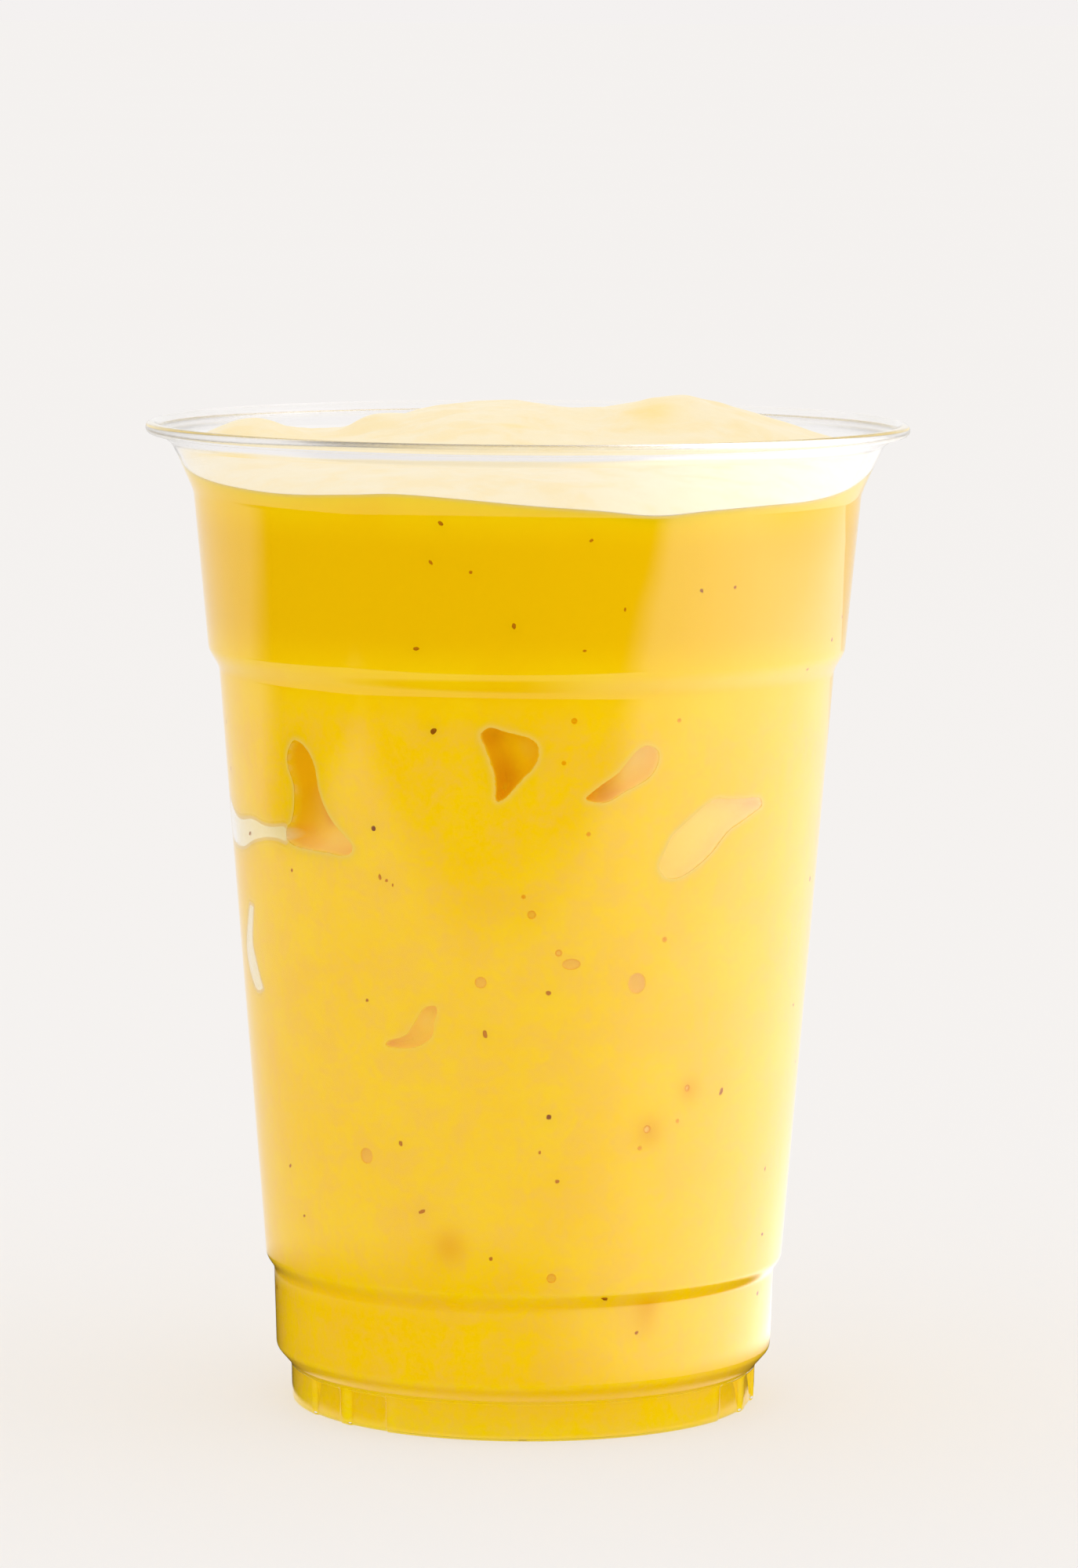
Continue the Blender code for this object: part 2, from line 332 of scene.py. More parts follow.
@dataclass(frozen=True)
class MangoFinish:
    """Blended mango: saturated where it wets the wall, creamy where it meets the air, partly as
    painted sheen.
    """

    wetted: tuple = linear(253, 231, 5)
    wetted_deep: tuple = linear(252, 224, 1)
    # Painted shade: a darker band on the upper wall between these heights, fading out just below
    # the fill line where light comes through the top
    upper: tuple = linear(248, 219, 1)
    upper_low: Point = (0.094, 0.100)
    upper_high: Point = (0.1095, 0.1155)
    mottle: tuple = linear(250, 220, 92)
    mottle_top: Point = (0.086, 0.093)
    pulp: tuple = linear(246, 208, 0)
    # Painted light: a pale glow just outside each hollow, where the drink curves away from the wall
    rim: tuple = linear(253, 232, 130)
    # Inside the hollows: the drink's colour there, painted darker as shade and paler as reflection
    hollow: tuple = linear(250, 208, 2)
    hollow_painted_shade: tuple = linear(226, 148, 1)
    hollow_painted_reflection: tuple = linear(250, 219, 90)
    # Drink that meets the air: froth colour, made paler still as painted sheen; it also paints the
    # reflections at the left
    froth_and_painted_light: tuple = linear(241, 226, 188)
    airy_deep: tuple = linear(242, 218, 158)
    # Painted shade on the heap's top
    froth_painted_shade: tuple = linear(246, 211, 90)
    # Painted reflection on the froth
    froth_painted_reflection: tuple = linear(246, 231, 208)
    roughness_airy: float = 0.42

    def material(self) -> bpy.types.Material:
        """The finish as a material that reads the drink's zones."""
        made, graph = new_material("mango_drink")
        where = graph.object_place()
        zones = graph.node("ShaderNodeAttribute", {"attribute_name": Zone.PLACES.value})
        parts = graph.node("ShaderNodeSeparateColor", {}, {0: zones.outputs["Color"]})
        # Shares of froth colour with its painted light, of hollow, and of the painted glow round
        # hollows
        froth_and_painted_light, hollow, rim = (graph.number(parts, k) for k in range(3))
        tone = graph.stored(Zone.TONE.value)
        # Painted shade where the tone is above zero, painted reflection where it is below
        deep, pale = tone.at_least(0.0), (0.0 - tone).at_least(0.0)
        body = self.body(graph, where)
        # Painted pale glow round the hollows
        body = graph.mix(rim, body, self.rim)
        # Hollows with their painted shade and painted reflection
        cavity = graph.mix(deep, self.hollow, self.hollow_painted_shade)
        cavity = graph.mix(pale, cavity, self.hollow_painted_reflection)
        body = graph.mix(hollow, body, cavity)
        # Froth: random darker clouds, then painted shade and painted reflection
        cloud = graph.grain(where, 160.0, 4.0, 0.6, 0.4).ramp(0.4, 0.68)
        foam_and_painted_reflection = graph.mix(cloud * 0.6, self.froth_and_painted_light, self.airy_deep)
        foam_and_painted_reflection = graph.mix(deep, foam_and_painted_reflection, self.froth_painted_shade)
        foam_and_painted_reflection = graph.mix(pale, foam_and_painted_reflection, self.froth_painted_reflection)
        body = graph.mix(froth_and_painted_light, body, foam_and_painted_reflection)
        relief = graph.grain(where, 700.0, 3.0, 0.55) * froth_and_painted_light
        bump = graph.node("ShaderNodeBump", {}, {"Strength": 0.25, "Distance": 0.0004,
                                                "Height": relief})
        dull = graph.node("ShaderNodeBsdfPrincipled", {}, {
            "Base Color": body, "Roughness": 1.0, "Specular IOR Level": 0.0})
        glossy = graph.node("ShaderNodeBsdfPrincipled", {}, {
            "Base Color": body, "Roughness": self.roughness_airy, "IOR": 1.38,
            "Normal": bump.outputs[0]})
        shader = graph.node("ShaderNodeMixShader", {}, {
            0: froth_and_painted_light, 1: dull.outputs[0], 2: glossy.outputs[0]})
        graph.node("ShaderNodeOutputMaterial", {}, {"Surface": shader.outputs[0]})
        return made

    def body(self, graph: Graph, where: bpy.types.NodeSocket) -> bpy.types.NodeSocket:
        """Colour of the drink against the wall, mottled below the upper step, with painted shade on
        the upper wall that fades out below the fill line.

        Args:
            graph: The material's graph.
            where: The point's place.

        Returns:
            The colour's socket.
        """
        cloud = graph.grain(where, 95.0, 3.0, 0.6).ramp(0.35, 0.7)
        fine = graph.grain(where, 900.0, 3.0, 0.65).ramp(0.3, 0.75)
        body = graph.mix(cloud * 0.5 + fine * 0.3, self.wetted, self.wetted_deep)
        patches = graph.grain(where, 230.0, 3.0, 0.62, 0.6).ramp(0.4, 0.64)
        grit = graph.grain(where, 1300.0, 2.0, 0.6).ramp(0.35, 0.7)
        height = graph.axes(where)[2]
        low = 1.0 - height.ramp(*self.mottle_top)
        body = graph.mix((patches * 0.42 + grit * 0.26) * low, body, self.mottle)
        # Painted shade on the upper wall, fading out below the fill line
        upper = height.ramp(*self.upper_low) * (1.0 - height.ramp(*self.upper_high))
        body = graph.mix(upper, body, self.upper)
        return graph.mix(graph.stored(Zone.PULP.value), body, self.pulp)


@dataclass(frozen=True)
class SpeckFinish:
    """Dark flecks of fruit fibre."""

    dark: tuple = linear(112, 60, 24)
    pale: tuple = linear(214, 150, 10)

    def material(self) -> bpy.types.Material:
        """The finish as a material."""
        made, graph = new_material("fruit_fleck")
        fleck = graph.stored(Zone.TONE.value)
        uneven = graph.grain(graph.object_place(), 2500.0, 2.0).ramp(0.3, 0.7)
        shader = graph.node("ShaderNodeBsdfPrincipled", {}, {
            "Base Color": graph.mix(fleck * (0.75 + uneven * 0.25), self.pale, self.dark),
            "Roughness": 0.8, "Specular IOR Level": 0.0})
        graph.node("ShaderNodeOutputMaterial", {}, {"Surface": shader.outputs[0]})
        return made


@dataclass(frozen=True)
class TableFinish:
    """Plain pale table, lit evenly enough that only soft shade shows."""

    colour: tuple = (0.800, 0.788, 0.780, 1.0)
    tint: tuple = (0.792, 0.776, 0.764, 1.0)
    glow: tuple = linear(248, 245, 243)
    glow_share: float = 0.5

    def material(self) -> bpy.types.Material:
        """The finish as a material."""
        made, graph = new_material("pale_table")
        tone = graph.grain(graph.object_place(), 2.2, 2.0)
        shader = graph.node("ShaderNodeBsdfPrincipled", {}, {
            "Base Color": graph.mix(tone, self.colour, self.tint), "Roughness": 0.9,
            "Specular IOR Level": 0.0})
        glow = graph.node("ShaderNodeEmission", {}, {"Color": self.glow})
        mixed = graph.node("ShaderNodeMixShader", {}, {
            0: self.glow_share, 1: shader.outputs[0], 2: glow.outputs[0]})
        graph.node("ShaderNodeOutputMaterial", {}, {"Surface": mixed.outputs[0]})
        return made


class Zone(Enum):
    """Names of what the drink's mesh stores for its finish."""

    PLACES = "zones"
    # On the drink: painted shade above zero, painted reflection below zero; on the flecks: how dark
    # each is
    TONE = "tone"
    PULP = "pulp"


# Meshes


def new_object(name: str, data: bpy.types.Mesh, material: bpy.types.Material) -> bpy.types.Object:
    """Link a mesh into the scene.

    Args:
        name: The piece's name.
        data: Its mesh.
        material: Its finish.

    Returns:
        The object.
    """
    data.materials.append(material)
    made = bpy.data.objects.new(name, data)
    bpy.context.scene.collection.objects.link(made)
    return made


def ring_faces(rings: int, segments: int, start: int = 0) -> list[tuple[int, int, int, int]]:
    """Quads between closed rings of points that are stored one ring after another.

    Args:
        rings: Number of rings.
        segments: Points in a ring.
        start: Index of the first point.

    Returns:
        The faces, which look outwards where the rings go upwards.
    """
    faces = []
    for i in range(rings - 1):
        lower = start + i * segments
        upper = lower + segments
        for k in range(segments):
            n = (k + 1) % segments
            faces.append((lower + k, lower + n, upper + n, upper + k))
    return faces


def fan_faces(centre: int, start: int, segments: int, turned: bool) -> list[tuple[int, int, int]]:
    """Triangles that close a ring round a point.

    Args:
        centre: Index of the middle point.
        start: Index of the ring's first point.
        segments: Points in the ring.
        turned: True for faces that look the other way.

    Returns:
        The faces.
    """
    faces = []
    for k in range(segments):
        n = (k + 1) % segments
        pair = (start + n, start + k) if turned else (start + k, start + n)
        faces.append((*pair, centre))
    return faces


def rounded(points: list[Point], cut: list[float], steps: int = 5) -> list[Point]:
    """Round the corners of a line.

    Args:
        points: Corners of the line.
        cut: How far along each side a corner's rounding starts, 0 for a sharp one.
        steps: Points of each rounding.

    Returns:
        The line with its roundings.
    """
    line = [points[0]]
    for before, corner, after, reach in zip(points, points[1:], points[2:], cut[1:]):
        if reach <= 0.0:
            line.append(corner)
            continue
        here = Vector(corner)
        back = Vector(before) - here
        ahead = Vector(after) - here
        start = here + back.normalized() * min(reach, back.length * 0.48)
        end = here + ahead.normalized() * min(reach, ahead.length * 0.48)
        for k in range(steps + 1):
            t = k / steps
            spot = start * (1 - t) ** 2 + here * 2 * t * (1 - t) + end * t ** 2
            line.append((spot.x, spot.y))
    line.append(points[-1])
    return line


@dataclass
class CupForm:
    """Outline of the cup, from the same sizes as its solid in the frame."""

    height: float = 123.1
    rim_radius: float = 47.5
    bead_radius: float = 0.75
    crease: Point = (44.4, 120.5)
    neck: Point = (41.55, 114.2)
    flare_power: float = 1.14
    upper_step: tuple[Point, Point] = ((39.75, 95.4), (38.35, 92.0))
    lower_step: tuple[Point, Point] = ((32.45, 18.9), (31.40, 16.6))
    chamfer: tuple[Point, Point] = ((31.10, 6.9), (29.35, 4.9))
    foot_radius: float = 29.1
    foot_rounding: float = 0.5
    wall: float = 0.5
    foot_wall: float = 0.9
    floor: float = 0.5
    stand_inner: float = 25.0
    panel_radius: float = 23.8
    panel_rise: float = 1.5
    rib_groups: int = 3
    rib_start: float = 54.0
    rib_pitch: float = 15.5
    ribs_in_group: int = 3
    rib_width: float = 2.6
    rib_side: float = 0.8
    rib_setback: float = 0.35
    rib_top: float = 4.2

    def flare_radius(self, height: np.ndarray | float) -> np.ndarray | float:
        """Outer radius of the flare between the neck and the crease."""
        share = (height - self.neck[1]) / (self.crease[1] - self.neck[1])
        share = np.clip(share, 0.0, 1.0)
        return self.neck[0] + (self.crease[0] - self.neck[0]) * share ** self.flare_power

    @staticmethod
    def eased_run(top: Point, bottom: Point, count: int) -> list[Point]:
        """Points of a soft step, from its top edge down to its bottom edge.

        Args:
            top: Radius and height of the top edge.
            bottom: Radius and height of the bottom edge.
            count: Number of parts.

        Returns:
            The points.
        """
        run = []
        for k in range(count + 1):
            t = k / count
            run.append((top[0] + (bottom[0] - top[0]) * float(ease(t)),
                        top[1] + (bottom[1] - top[1]) * t))
        return run

    def wall_run(self) -> list[Point]:
        """Outer wall from the crease down to the bottom of the chamfer above the foot."""
        parts = 16
        run = []
        for k in range(parts + 1):
            height = self.crease[1] + (self.neck[1] - self.crease[1]) * k / parts
            run.append((float(self.flare_radius(height)), height))
        run += self.between(run[-1], self.upper_step[0])
        run += self.eased_run(*self.upper_step, 14)
        run += self.between(self.upper_step[1], self.lower_step[0])
        run += self.eased_run(*self.lower_step, 12)
        run += self.between(self.lower_step[1], self.chamfer[0])[:-1]
        corner = rounded([run[-1], *self.chamfer, (self.foot_radius + 0.1, self.rib_top)],
                         [0.0, 0.5, 0.35, 0.0])
        return run + corner[1:-1]

    @staticmethod
    def between(top: Point, bottom: Point) -> list[Point]:
        """Extra points on a straight stretch, close to its ends so that it shades straight.

        Args:
            top: Radius and height of its top.
            bottom: Radius and height of its bottom.

        Returns:
            The points, without the ends.
        """
        length = math.dist(top, bottom)
        count = max(2, int(length / 4.0))
        shares = [0.35 / length, *(k / count for k in range(1, count)), 1.0 - 0.35 / length]
        return [(top[0] + (bottom[0] - top[0]) * t, top[1] + (bottom[1] - top[1]) * t)
                for t in shares]

    def inset(self, run: list[Point], distance: float) -> list[Point]:
        """Move a run of points towards the axis, square to its own line.

        Args:
            run: The points, from the top down.
            distance: How far.

        Returns:
            The moved points.
        """
        moved = []
        for k, (radius, height) in enumerate(run):
            before = run[max(k - 1, 0)]
            after = run[min(k + 1, len(run) - 1)]
            along = Vector((after[0] - before[0], after[1] - before[1])).normalized()
            moved.append((radius + along.y * distance, height - along.x * distance))
        return moved

    def bead_run(self) -> list[Point]:
        """Points round the rolled rim, from its inner side over the top to its underside."""
        parts = 28
        centre = (self.rim_radius - self.bead_radius, self.height - self.bead_radius)
        run = []
        for k in range(parts + 1):
            angle = math.radians(180.0 - 315.0 * k / parts)
            run.append((centre[0] + self.bead_radius * math.cos(angle),
                        centre[1] + self.bead_radius * math.sin(angle)))
        return run

    def floor_run(self, lift: float) -> list[Point]:
        """Inside of the foot and floor, from the foot's wall to the raised panel.

        Args:
            lift: How far above the inside the points lie.

        Returns:
            The points.
        """
        foot = self.foot_radius - self.foot_wall - lift
        corners = [
            (foot + 0.2, self.chamfer[1][1] - 0.3 + lift * 0.5),
            (foot, self.floor + 1.0 + lift),
            (foot - 0.8, self.floor + lift),
            (self.stand_inner + 0.4 + lift * 0.5, self.floor + lift),
            (self.panel_radius + lift * 0.5, self.floor + self.panel_rise + lift),
            (self.panel_radius * 0.5, self.floor + self.panel_rise + lift),
        ]
        return rounded(corners, [0.0, 0.3, 0.3, 0.3, 0.5, 0.0], 3)

    def under_run(self) -> list[Point]:
        """Outside of the foot, from the chamfer down and under to the raised panel."""
        corners = [
            (self.foot_radius + 0.1, self.rib_top),
            (self.foot_radius, 0.0),
            (self.stand_inner, 0.0),
            (self.panel_radius, self.panel_rise),
            (self.panel_radius * 0.5, self.panel_rise),
        ]
        return rounded(corners, [0.0, self.foot_rounding, 0.3, 0.5, 0.0])

    def rib_depth(self, angle: np.ndarray) -> np.ndarray:
        """How far the foot's wall is set back between the ribs.

        Args:
            angle: Degrees round the cup.

        Returns:
            The setback in millimetres.
        """
        depth = np.zeros_like(angle)
        for group in range(self.rib_groups):
            first = self.rib_start + 360.0 / self.rib_groups * group
            for k in range(self.ribs_in_group - 1):
                start = first + k * self.rib_pitch + self.rib_width
                end = first + (k + 1) * self.rib_pitch
                past = (angle - start) % 360.0
                rise = ease(past / self.rib_side) * ease((end - start - past) / self.rib_side)
                depth = np.maximum(depth, np.where(past < end - start, rise, 0.0))
        return depth * self.rib_setback

    def inner_wall(self, height: np.ndarray, distance: float) -> np.ndarray:
        """Radius of the line that lies a distance inside the outer wall.

        Args:
            height: Heights in millimetres.
            distance: How far inside the outer wall.

        Returns:
            The radii.
        """
        run = np.array(self.inset(self.wall_run(), distance))[::-1]
        return np.interp(height, run[:, 1], run[:, 0])


@dataclass
class CupShell:
    """The clear cup as one fine turned shell with its ribbed foot."""

    form: CupForm
    finish: ClearPlastic = field(default_factory=ClearPlastic)
    base_segments: int = 240

    def angles(self) -> np.ndarray:
        """Angles round the cup: an even spread, and closer ones at the ribs' sides."""
        even = np.arange(self.base_segments) * 360.0 / self.base_segments
        extra = []
        form = self.form
        for group in range(form.rib_groups):
            first = form.rib_start + 360.0 / form.rib_groups * group
            for k in range(form.ribs_in_group):
                left = first + k * form.rib_pitch
                for side in (left - form.rib_side, left + form.rib_width):
                    extra += [side + form.rib_side * t for t in (0.0, 0.25, 0.5, 0.75, 1.0)]
        extra = np.array(extra) % 360.0
        apart = np.abs((even[:, None] - extra[None, :] + 180.0) % 360.0 - 180.0).min(axis=1)
        return np.sort(np.concatenate([even[apart > 0.3], extra]))

    def build(self) -> bpy.types.Object:
        """Build the shell.

        Returns:
            The cup's object.
        """
        form = self.form
        angles = self.angles()
        outside = form.wall_run()
        inside = list(reversed(form.floor_run(0.0)))
        inside += list(reversed(form.inset(outside, form.wall)))
        line = [(r, z, 0.0) for r, z in inside + form.bead_run() + outside]
        line += [(r, z, 1.0 if r > form.stand_inner + 1.0 else 0.0) for r, z in form.under_run()]
        ribs = form.rib_depth(angles)
        points = [place(r - ribbed * ribs, angles, z) for r, z, ribbed in line]
        count = len(angles)
        points.append(place(0.0, 0.0, form.floor + form.panel_rise)[None])
        points.append(place(0.0, 0.0, form.panel_rise)[None])
        rings = len(line)
        faces = [tuple(reversed(f)) for f in ring_faces(rings, count)]
        faces += fan_faces(rings * count, 0, count, False)
        faces += fan_faces(rings * count + 1, (rings - 1) * count, count, True)
        data = bpy.data.meshes.new("clear_cup")
        data.from_pydata(np.concatenate(points).tolist(), [], faces)
        mesh = bmesh.new()
        mesh.from_mesh(data)
        bmesh.ops.recalc_face_normals(mesh, faces=mesh.faces)
        mesh.to_mesh(data)
        mesh.free()
        data.shade_smooth()
        data.set_sharp_from_angle(angle=math.radians(50.0))
        return new_object("clear_cup", data, self.finish.material())


@dataclass(frozen=True)
class Hollow:
    """Air trapped against the wall: where it is, how deep, its outline and its shades.

    The corners lie along and up the wall from its place. A shade is a place along and up, a
    size, and a tone from -1, painted reflection, to 1, painted shade.
    """

    angle: float
    height: float
    depth: float
    corners: tuple[Point, ...]
    shades: tuple[tuple[float, float, float, float], ...] = ()
    # Painted shade above zero and painted reflection below zero, all over the hollow
    tone: float = 0.0
    # Strength of the painted pale glow just outside the outline
    rim: float = 0.8
    # Share of froth colour painted over the patch as a painted reflection
    foam_and_painted_reflection: float = 0.0
    reach: float = 1.5
    points: int = 96

    def outline(self) -> np.ndarray:
        """Even points on a smooth closed curve through the corners.

        Returns:
            Distances along and up the wall from the hollow's place.
        """
        corners = np.array(self.corners)
        total = len(corners)
        along = np.arange(self.points) * total / self.points
        i = along.astype(int)
        t = (along - i)[:, None]
        a, b, c, d = (corners[(i + j) % total] for j in (-1, 0, 1, 2))
        return 0.5 * (2 * b + (c - a) * t + (2 * a - 5 * b + 4 * c - d) * t ** 2
                      + (3 * b - a - 3 * c + d) * t ** 3)

    def sink(self, distance: np.ndarray) -> np.ndarray:
        """How deep the hollow is at a distance inside its outline."""
        return self.depth * np.sqrt(1.0 - (1.0 - np.minimum(distance / self.reach, 1.0)) ** 2)

    def tones(self, along: np.ndarray, up: np.ndarray) -> np.ndarray:
        """Painted shade and painted reflection of places in the hollow.

        Args:
            along: Distances along the wall from the hollow's place.
            up: Distances up the wall.

        Returns:
            Tones from -1, painted reflection, to 1, painted shade.
        """
        tone = np.full(len(along), self.tone)
        for side, rise, size, amount in self.shades:
            tone += amount * np.exp(-((along - side) ** 2 + (up - rise) ** 2) / size ** 2)
        return np.clip(tone, -1.0, 1.0)


# Large hollows: place, depth, outline, and spots of painted shade and painted reflection
TALL = Hollow(
    -44.9, 77.5, 3.6,
    ((-2.5, 8.1), (-3.7, 6.6), (-3.8, 4.9), (-2.9, 2.7), (-3.0, 0.2), (-3.7, -1.8), (-4.8, -2.9),
     (-5.0, -4.0), (-3.7, -4.8), (-1.1, -5.1), (2.4, -5.2), (4.6, -5.4), (5.9, -5.1), (6.4, -4.3),
     (5.8, -3.4), (4.3, -2.1), (2.8, -0.4), (1.6, 2.2), (1.1, 5.1), (0.2, 6.9), (-1.2, 8.0)),
    ((-0.2, 1.9, 1.5, 0.8), (0.1, -0.8, 1.9, 0.8), (3.8, -3.9, 2.4, -0.8), (0.6, -4.6, 1.6, -0.5)))
HEART = Hollow(
    -3.5, 84.7, 3.2,
    ((-3.1, 3.3), (-2.3, 3.9), (-1.5, 3.9), (-0.3, 3.5), (1.3, 3.1), (2.5, 2.8), (3.5, 2.1),
     (3.8, 1.1), (3.6, -0.1), (2.9, -1.2), (1.9, -2.2), (0.7, -3.6), (-0.1, -4.5), (-1.0, -5.0),
     (-1.4, -4.7), (-1.4, -3.5), (-1.5, -2.0), (-1.9, -0.6), (-2.5, 1.2), (-3.1, 2.5)),
    ((-1.9, 2.4, 1.5, 0.45), (-0.7, -0.4, 1.8, 0.5), (-0.1, -2.4, 1.6, 0.5), (2.4, 1.2, 1.4, -0.2)))
LEAF = Hollow(
    18.6, 82.5, 2.6,
    ((-4.8, -2.5), (-4.3, -1.9), (-2.9, -0.8), (-1.0, 0.5), (0.2, 1.9), (1.5, 3.3), (2.7, 3.8),
     (3.8, 3.4), (4.3, 2.5), (4.0, 1.1), (3.1, -0.1), (1.6, -1.0), (-0.1, -1.8), (-1.4, -2.6),
     (-2.6, -3.0), (-3.9, -2.9)),
    ((1.9, 2.0, 1.5, -0.9), (3.0, 2.9, 1.2, -0.6), (0.7, 0.6, 1.0, -0.5), (-2.2, -1.8, 1.8, 0.35)))
LONG = Hollow(
    37.6, 75.2, 2.2,
    ((-7.0, -4.4), (-7.2, -3.4), (-6.5, -1.8), (-5.7, -0.1), (-4.4, 1.0), (-2.3, 2.6), (-0.5, 3.7),
     (0.7, 4.1), (2.7, 3.9), (5.0, 3.8), (6.9, 3.8), (8.2, 3.5), (8.5, 2.6), (7.1, 1.9),
     (5.0, 1.0), (3.0, 0.1), (1.7, -1.0), (0.4, -2.4), (-1.3, -3.7), (-3.0, -4.7), (-4.6, -5.3),
     (-6.1, -5.2)),
    tone=-0.2, rim=1.0)
SMALL = Hollow(
    -22.6, 51.2, 1.6,
    ((-3.9, -1.9), (-3.4, -1.4), (-2.0, -1.0), (-1.0, -0.5), (-0.3, 0.4), (0.4, 1.5), (1.3, 2.8),
     (2.2, 3.2), (2.9, 3.1), (3.0, 2.3), (2.6, 1.2), (2.5, -0.1), (1.8, -1.1), (0.7, -1.8),
     (-0.6, -2.2), (-2.5, -2.3), (-3.6, -2.2)),
    ((1.2, 1.1, 1.0, -0.4),), tone=0.1, rim=0.35)
# Painted reflections of bright things at the left: shallow gaps against the wall, painted with the
# froth colour as a pale patch and a streak
PAINTED_REFLECTION_PATCH = Hollow(
    -67.4, 73.5, 0.25,
    ((-10.6, 3.3), (-7.1, 2.2), (-4.0, 1.5), (0.9, 2.0), (3.9, 1.6), (6.3, 1.6), (9.4, 1.9),
     (9.9, 0.6), (9.4, -1.1), (6.9, -0.9), (3.8, -1.2), (0.6, -1.9), (-2.7, -3.0), (-6.6, -3.2),
     (-11.7, -2.4), (-12.0, 0.4)),
    rim=0.3, foam_and_painted_reflection=0.72)
PAINTED_REFLECTION_STREAK = Hollow(
    -71.4, 58.4, 0.25,
    ((-0.5, 5.7), (-2.0, 3.3), (-3.4, 0.9), (-3.8, -1.1), (-2.7, -3.4), (-0.5, -5.5), (1.5, -5.7),
     (3.3, -4.8), (2.3, -3.1), (1.3, -1.2), (0.5, 0.6), (1.1, 2.9), (2.0, 5.5), (0.9, 6.0)),
    rim=0.3, foam_and_painted_reflection=0.8)

# Small round bubbles against the wall: angle, height, radius along the wall and up it
BUBBLES = (
    (22.5, 57.2, 1.15, 1.3), (9.0, 59.8, 1.15, 0.7), (6.5, 61.2, 0.45, 0.45),
    (-8.7, 57.5, 0.75, 0.72), (1.2, 65.9, 0.55, 0.55), (-0.4, 68.1, 0.3, 0.3),
    (-34.9, 35.1, 0.9, 1.0), (6.0, 20.9, 0.6, 0.6), (8.7, 89.5, 0.4, 0.4),
    (6.9, 84.4, 0.3, 0.3), (29.0, 89.2, 0.3, 0.3), (11.8, 75.7, 0.3, 0.3),
    (26.1, 39.0, 0.5, 0.5), (35.3, 43.7, 0.4, 0.45), (28.1, 62.4, 0.35, 0.35),
    (33.3, 39.7, 0.28, 0.28), (24.6, 36.7, 0.3, 0.3),
)


def bubble(angle: float, height: float, across: float, up: float) -> Hollow:
    """A small round hollow, painted a little darker inside as shade.

    Args:
        angle: Degrees round the cup.
        height: Height in millimetres.
        across: Radius along the wall.
        up: Radius up the wall.

    Returns:
        The hollow.
    """
    turns = np.radians(np.arange(8) * 45.0)
    corners = tuple((across * math.cos(t), up * math.sin(t)) for t in turns)
    small = min(across, up)
    return Hollow(angle, height, 0.55 * small, corners, tone=0.45, rim=0.0, reach=small,
                  points=24)


@dataclass
class DrinkForm:
    """Shape of the drink's fill line and of its heaped top."""

    cup: CupForm
    sunk: float = 0.3
    foot_sunk: float = 0.65
    floor_sunk: float = 0.3
    heap_front: float = 118.6
    heap_back: float = 120.2
    heap_span: float = 35.0
    edge_power: float = 6.0
    fill_line: tuple[Point, ...] = (
        (0, 115.6), (12, 114.9), (22, 114.15), (32, 114.6), (43, 114.9), (56, 115.1),
        (68, 115.9), (80, 117.5), (95, 119.4), (130, 120.0), (180, 120.0), (222, 119.3),
        (252, 120.2), (266, 119.6), (278, 118.1), (290, 117.0), (303, 116.35), (316, 116.05),
        (330, 116.45), (338, 116.75), (349, 116.3),
    )
    lumps: tuple[tuple[float, ...], ...] = (
        (-5.0, 10.0, 11.5, 11.5, 16.0, 14.0, 5.2),
        (20.0, 9.0, 8.0, 13.0, 10.0, 10.0, 5.5),
        (-19.5, 8.0, 2.4, 2.4, 2.4, 2.4, 1.4),
        (-36.5, 6.0, 5.6, 5.0, 8.0, 9.0, 4.2),
        (-35.5, -3.0, 2.5, 2.5, 2.0, 2.0, -1.0),
    )

    def fill_height(self, angle: np.ndarray) -> np.ndarray:
        """Height at which the drink meets the wall.

        Args:
            angle: Degrees round the cup.

        Returns:
            The heights in millimetres.
        """
        knots = np.array(self.fill_line)
        count = len(knots)
        wrapped = np.concatenate([knots[-2:] - (360.0, 0.0), knots, knots[:3] + (360.0, 0.0)])
        angle = np.asarray(angle) % 360.0
        k = np.searchsorted(knots[:, 0], angle, side="right") - 1
        k = np.clip(k, 0, count - 1) + 2
        start, low = wrapped[k, 0], wrapped[k, 1]
        end, high = wrapped[k + 1, 0], wrapped[k + 1, 1]
        before, lower = wrapped[k - 1, 0], wrapped[k - 1, 1]
        after, higher = wrapped[k + 2, 0], wrapped[k + 2, 1]
        span = end - start
        t = (angle - start) / span
        slope_in = (high - lower) / (end - before) * span
        slope_out = (higher - low) / (after - start) * span
        return (low * (2 * t ** 3 - 3 * t ** 2 + 1) + slope_in * (t ** 3 - 2 * t ** 2 + t)
                + high * (3 * t ** 2 - 2 * t ** 3) + slope_out * (t ** 3 - t ** 2))

    def heap_height(self, x: np.ndarray, y: np.ndarray) -> np.ndarray:
        """Height of the heap's top, away from the wall.

        Args:
            x: Places across, in millimetres.
            y: Places in depth, in millimetres.

        Returns:
            The heights in millimetres.
        """
        slope = self.heap_back - self.heap_front
        height = self.heap_front + slope * ease((y + self.heap_span) / (2 * self.heap_span))
        for centre_x, centre_y, left, right, front, back, rise in self.lumps:
            away_x = (x - centre_x) / np.where(x < centre_x, left, right)
            away_y = (y - centre_y) / np.where(y < centre_y, front, back)
            height = height + rise * np.exp(-0.5 * (away_x ** 2 + away_y ** 2))
        return height

    def side_radius(self, height: np.ndarray | float) -> np.ndarray:
        """Radius of the drink's side, which reaches just into the wall."""
        return self.cup.inner_wall(height, self.sunk)


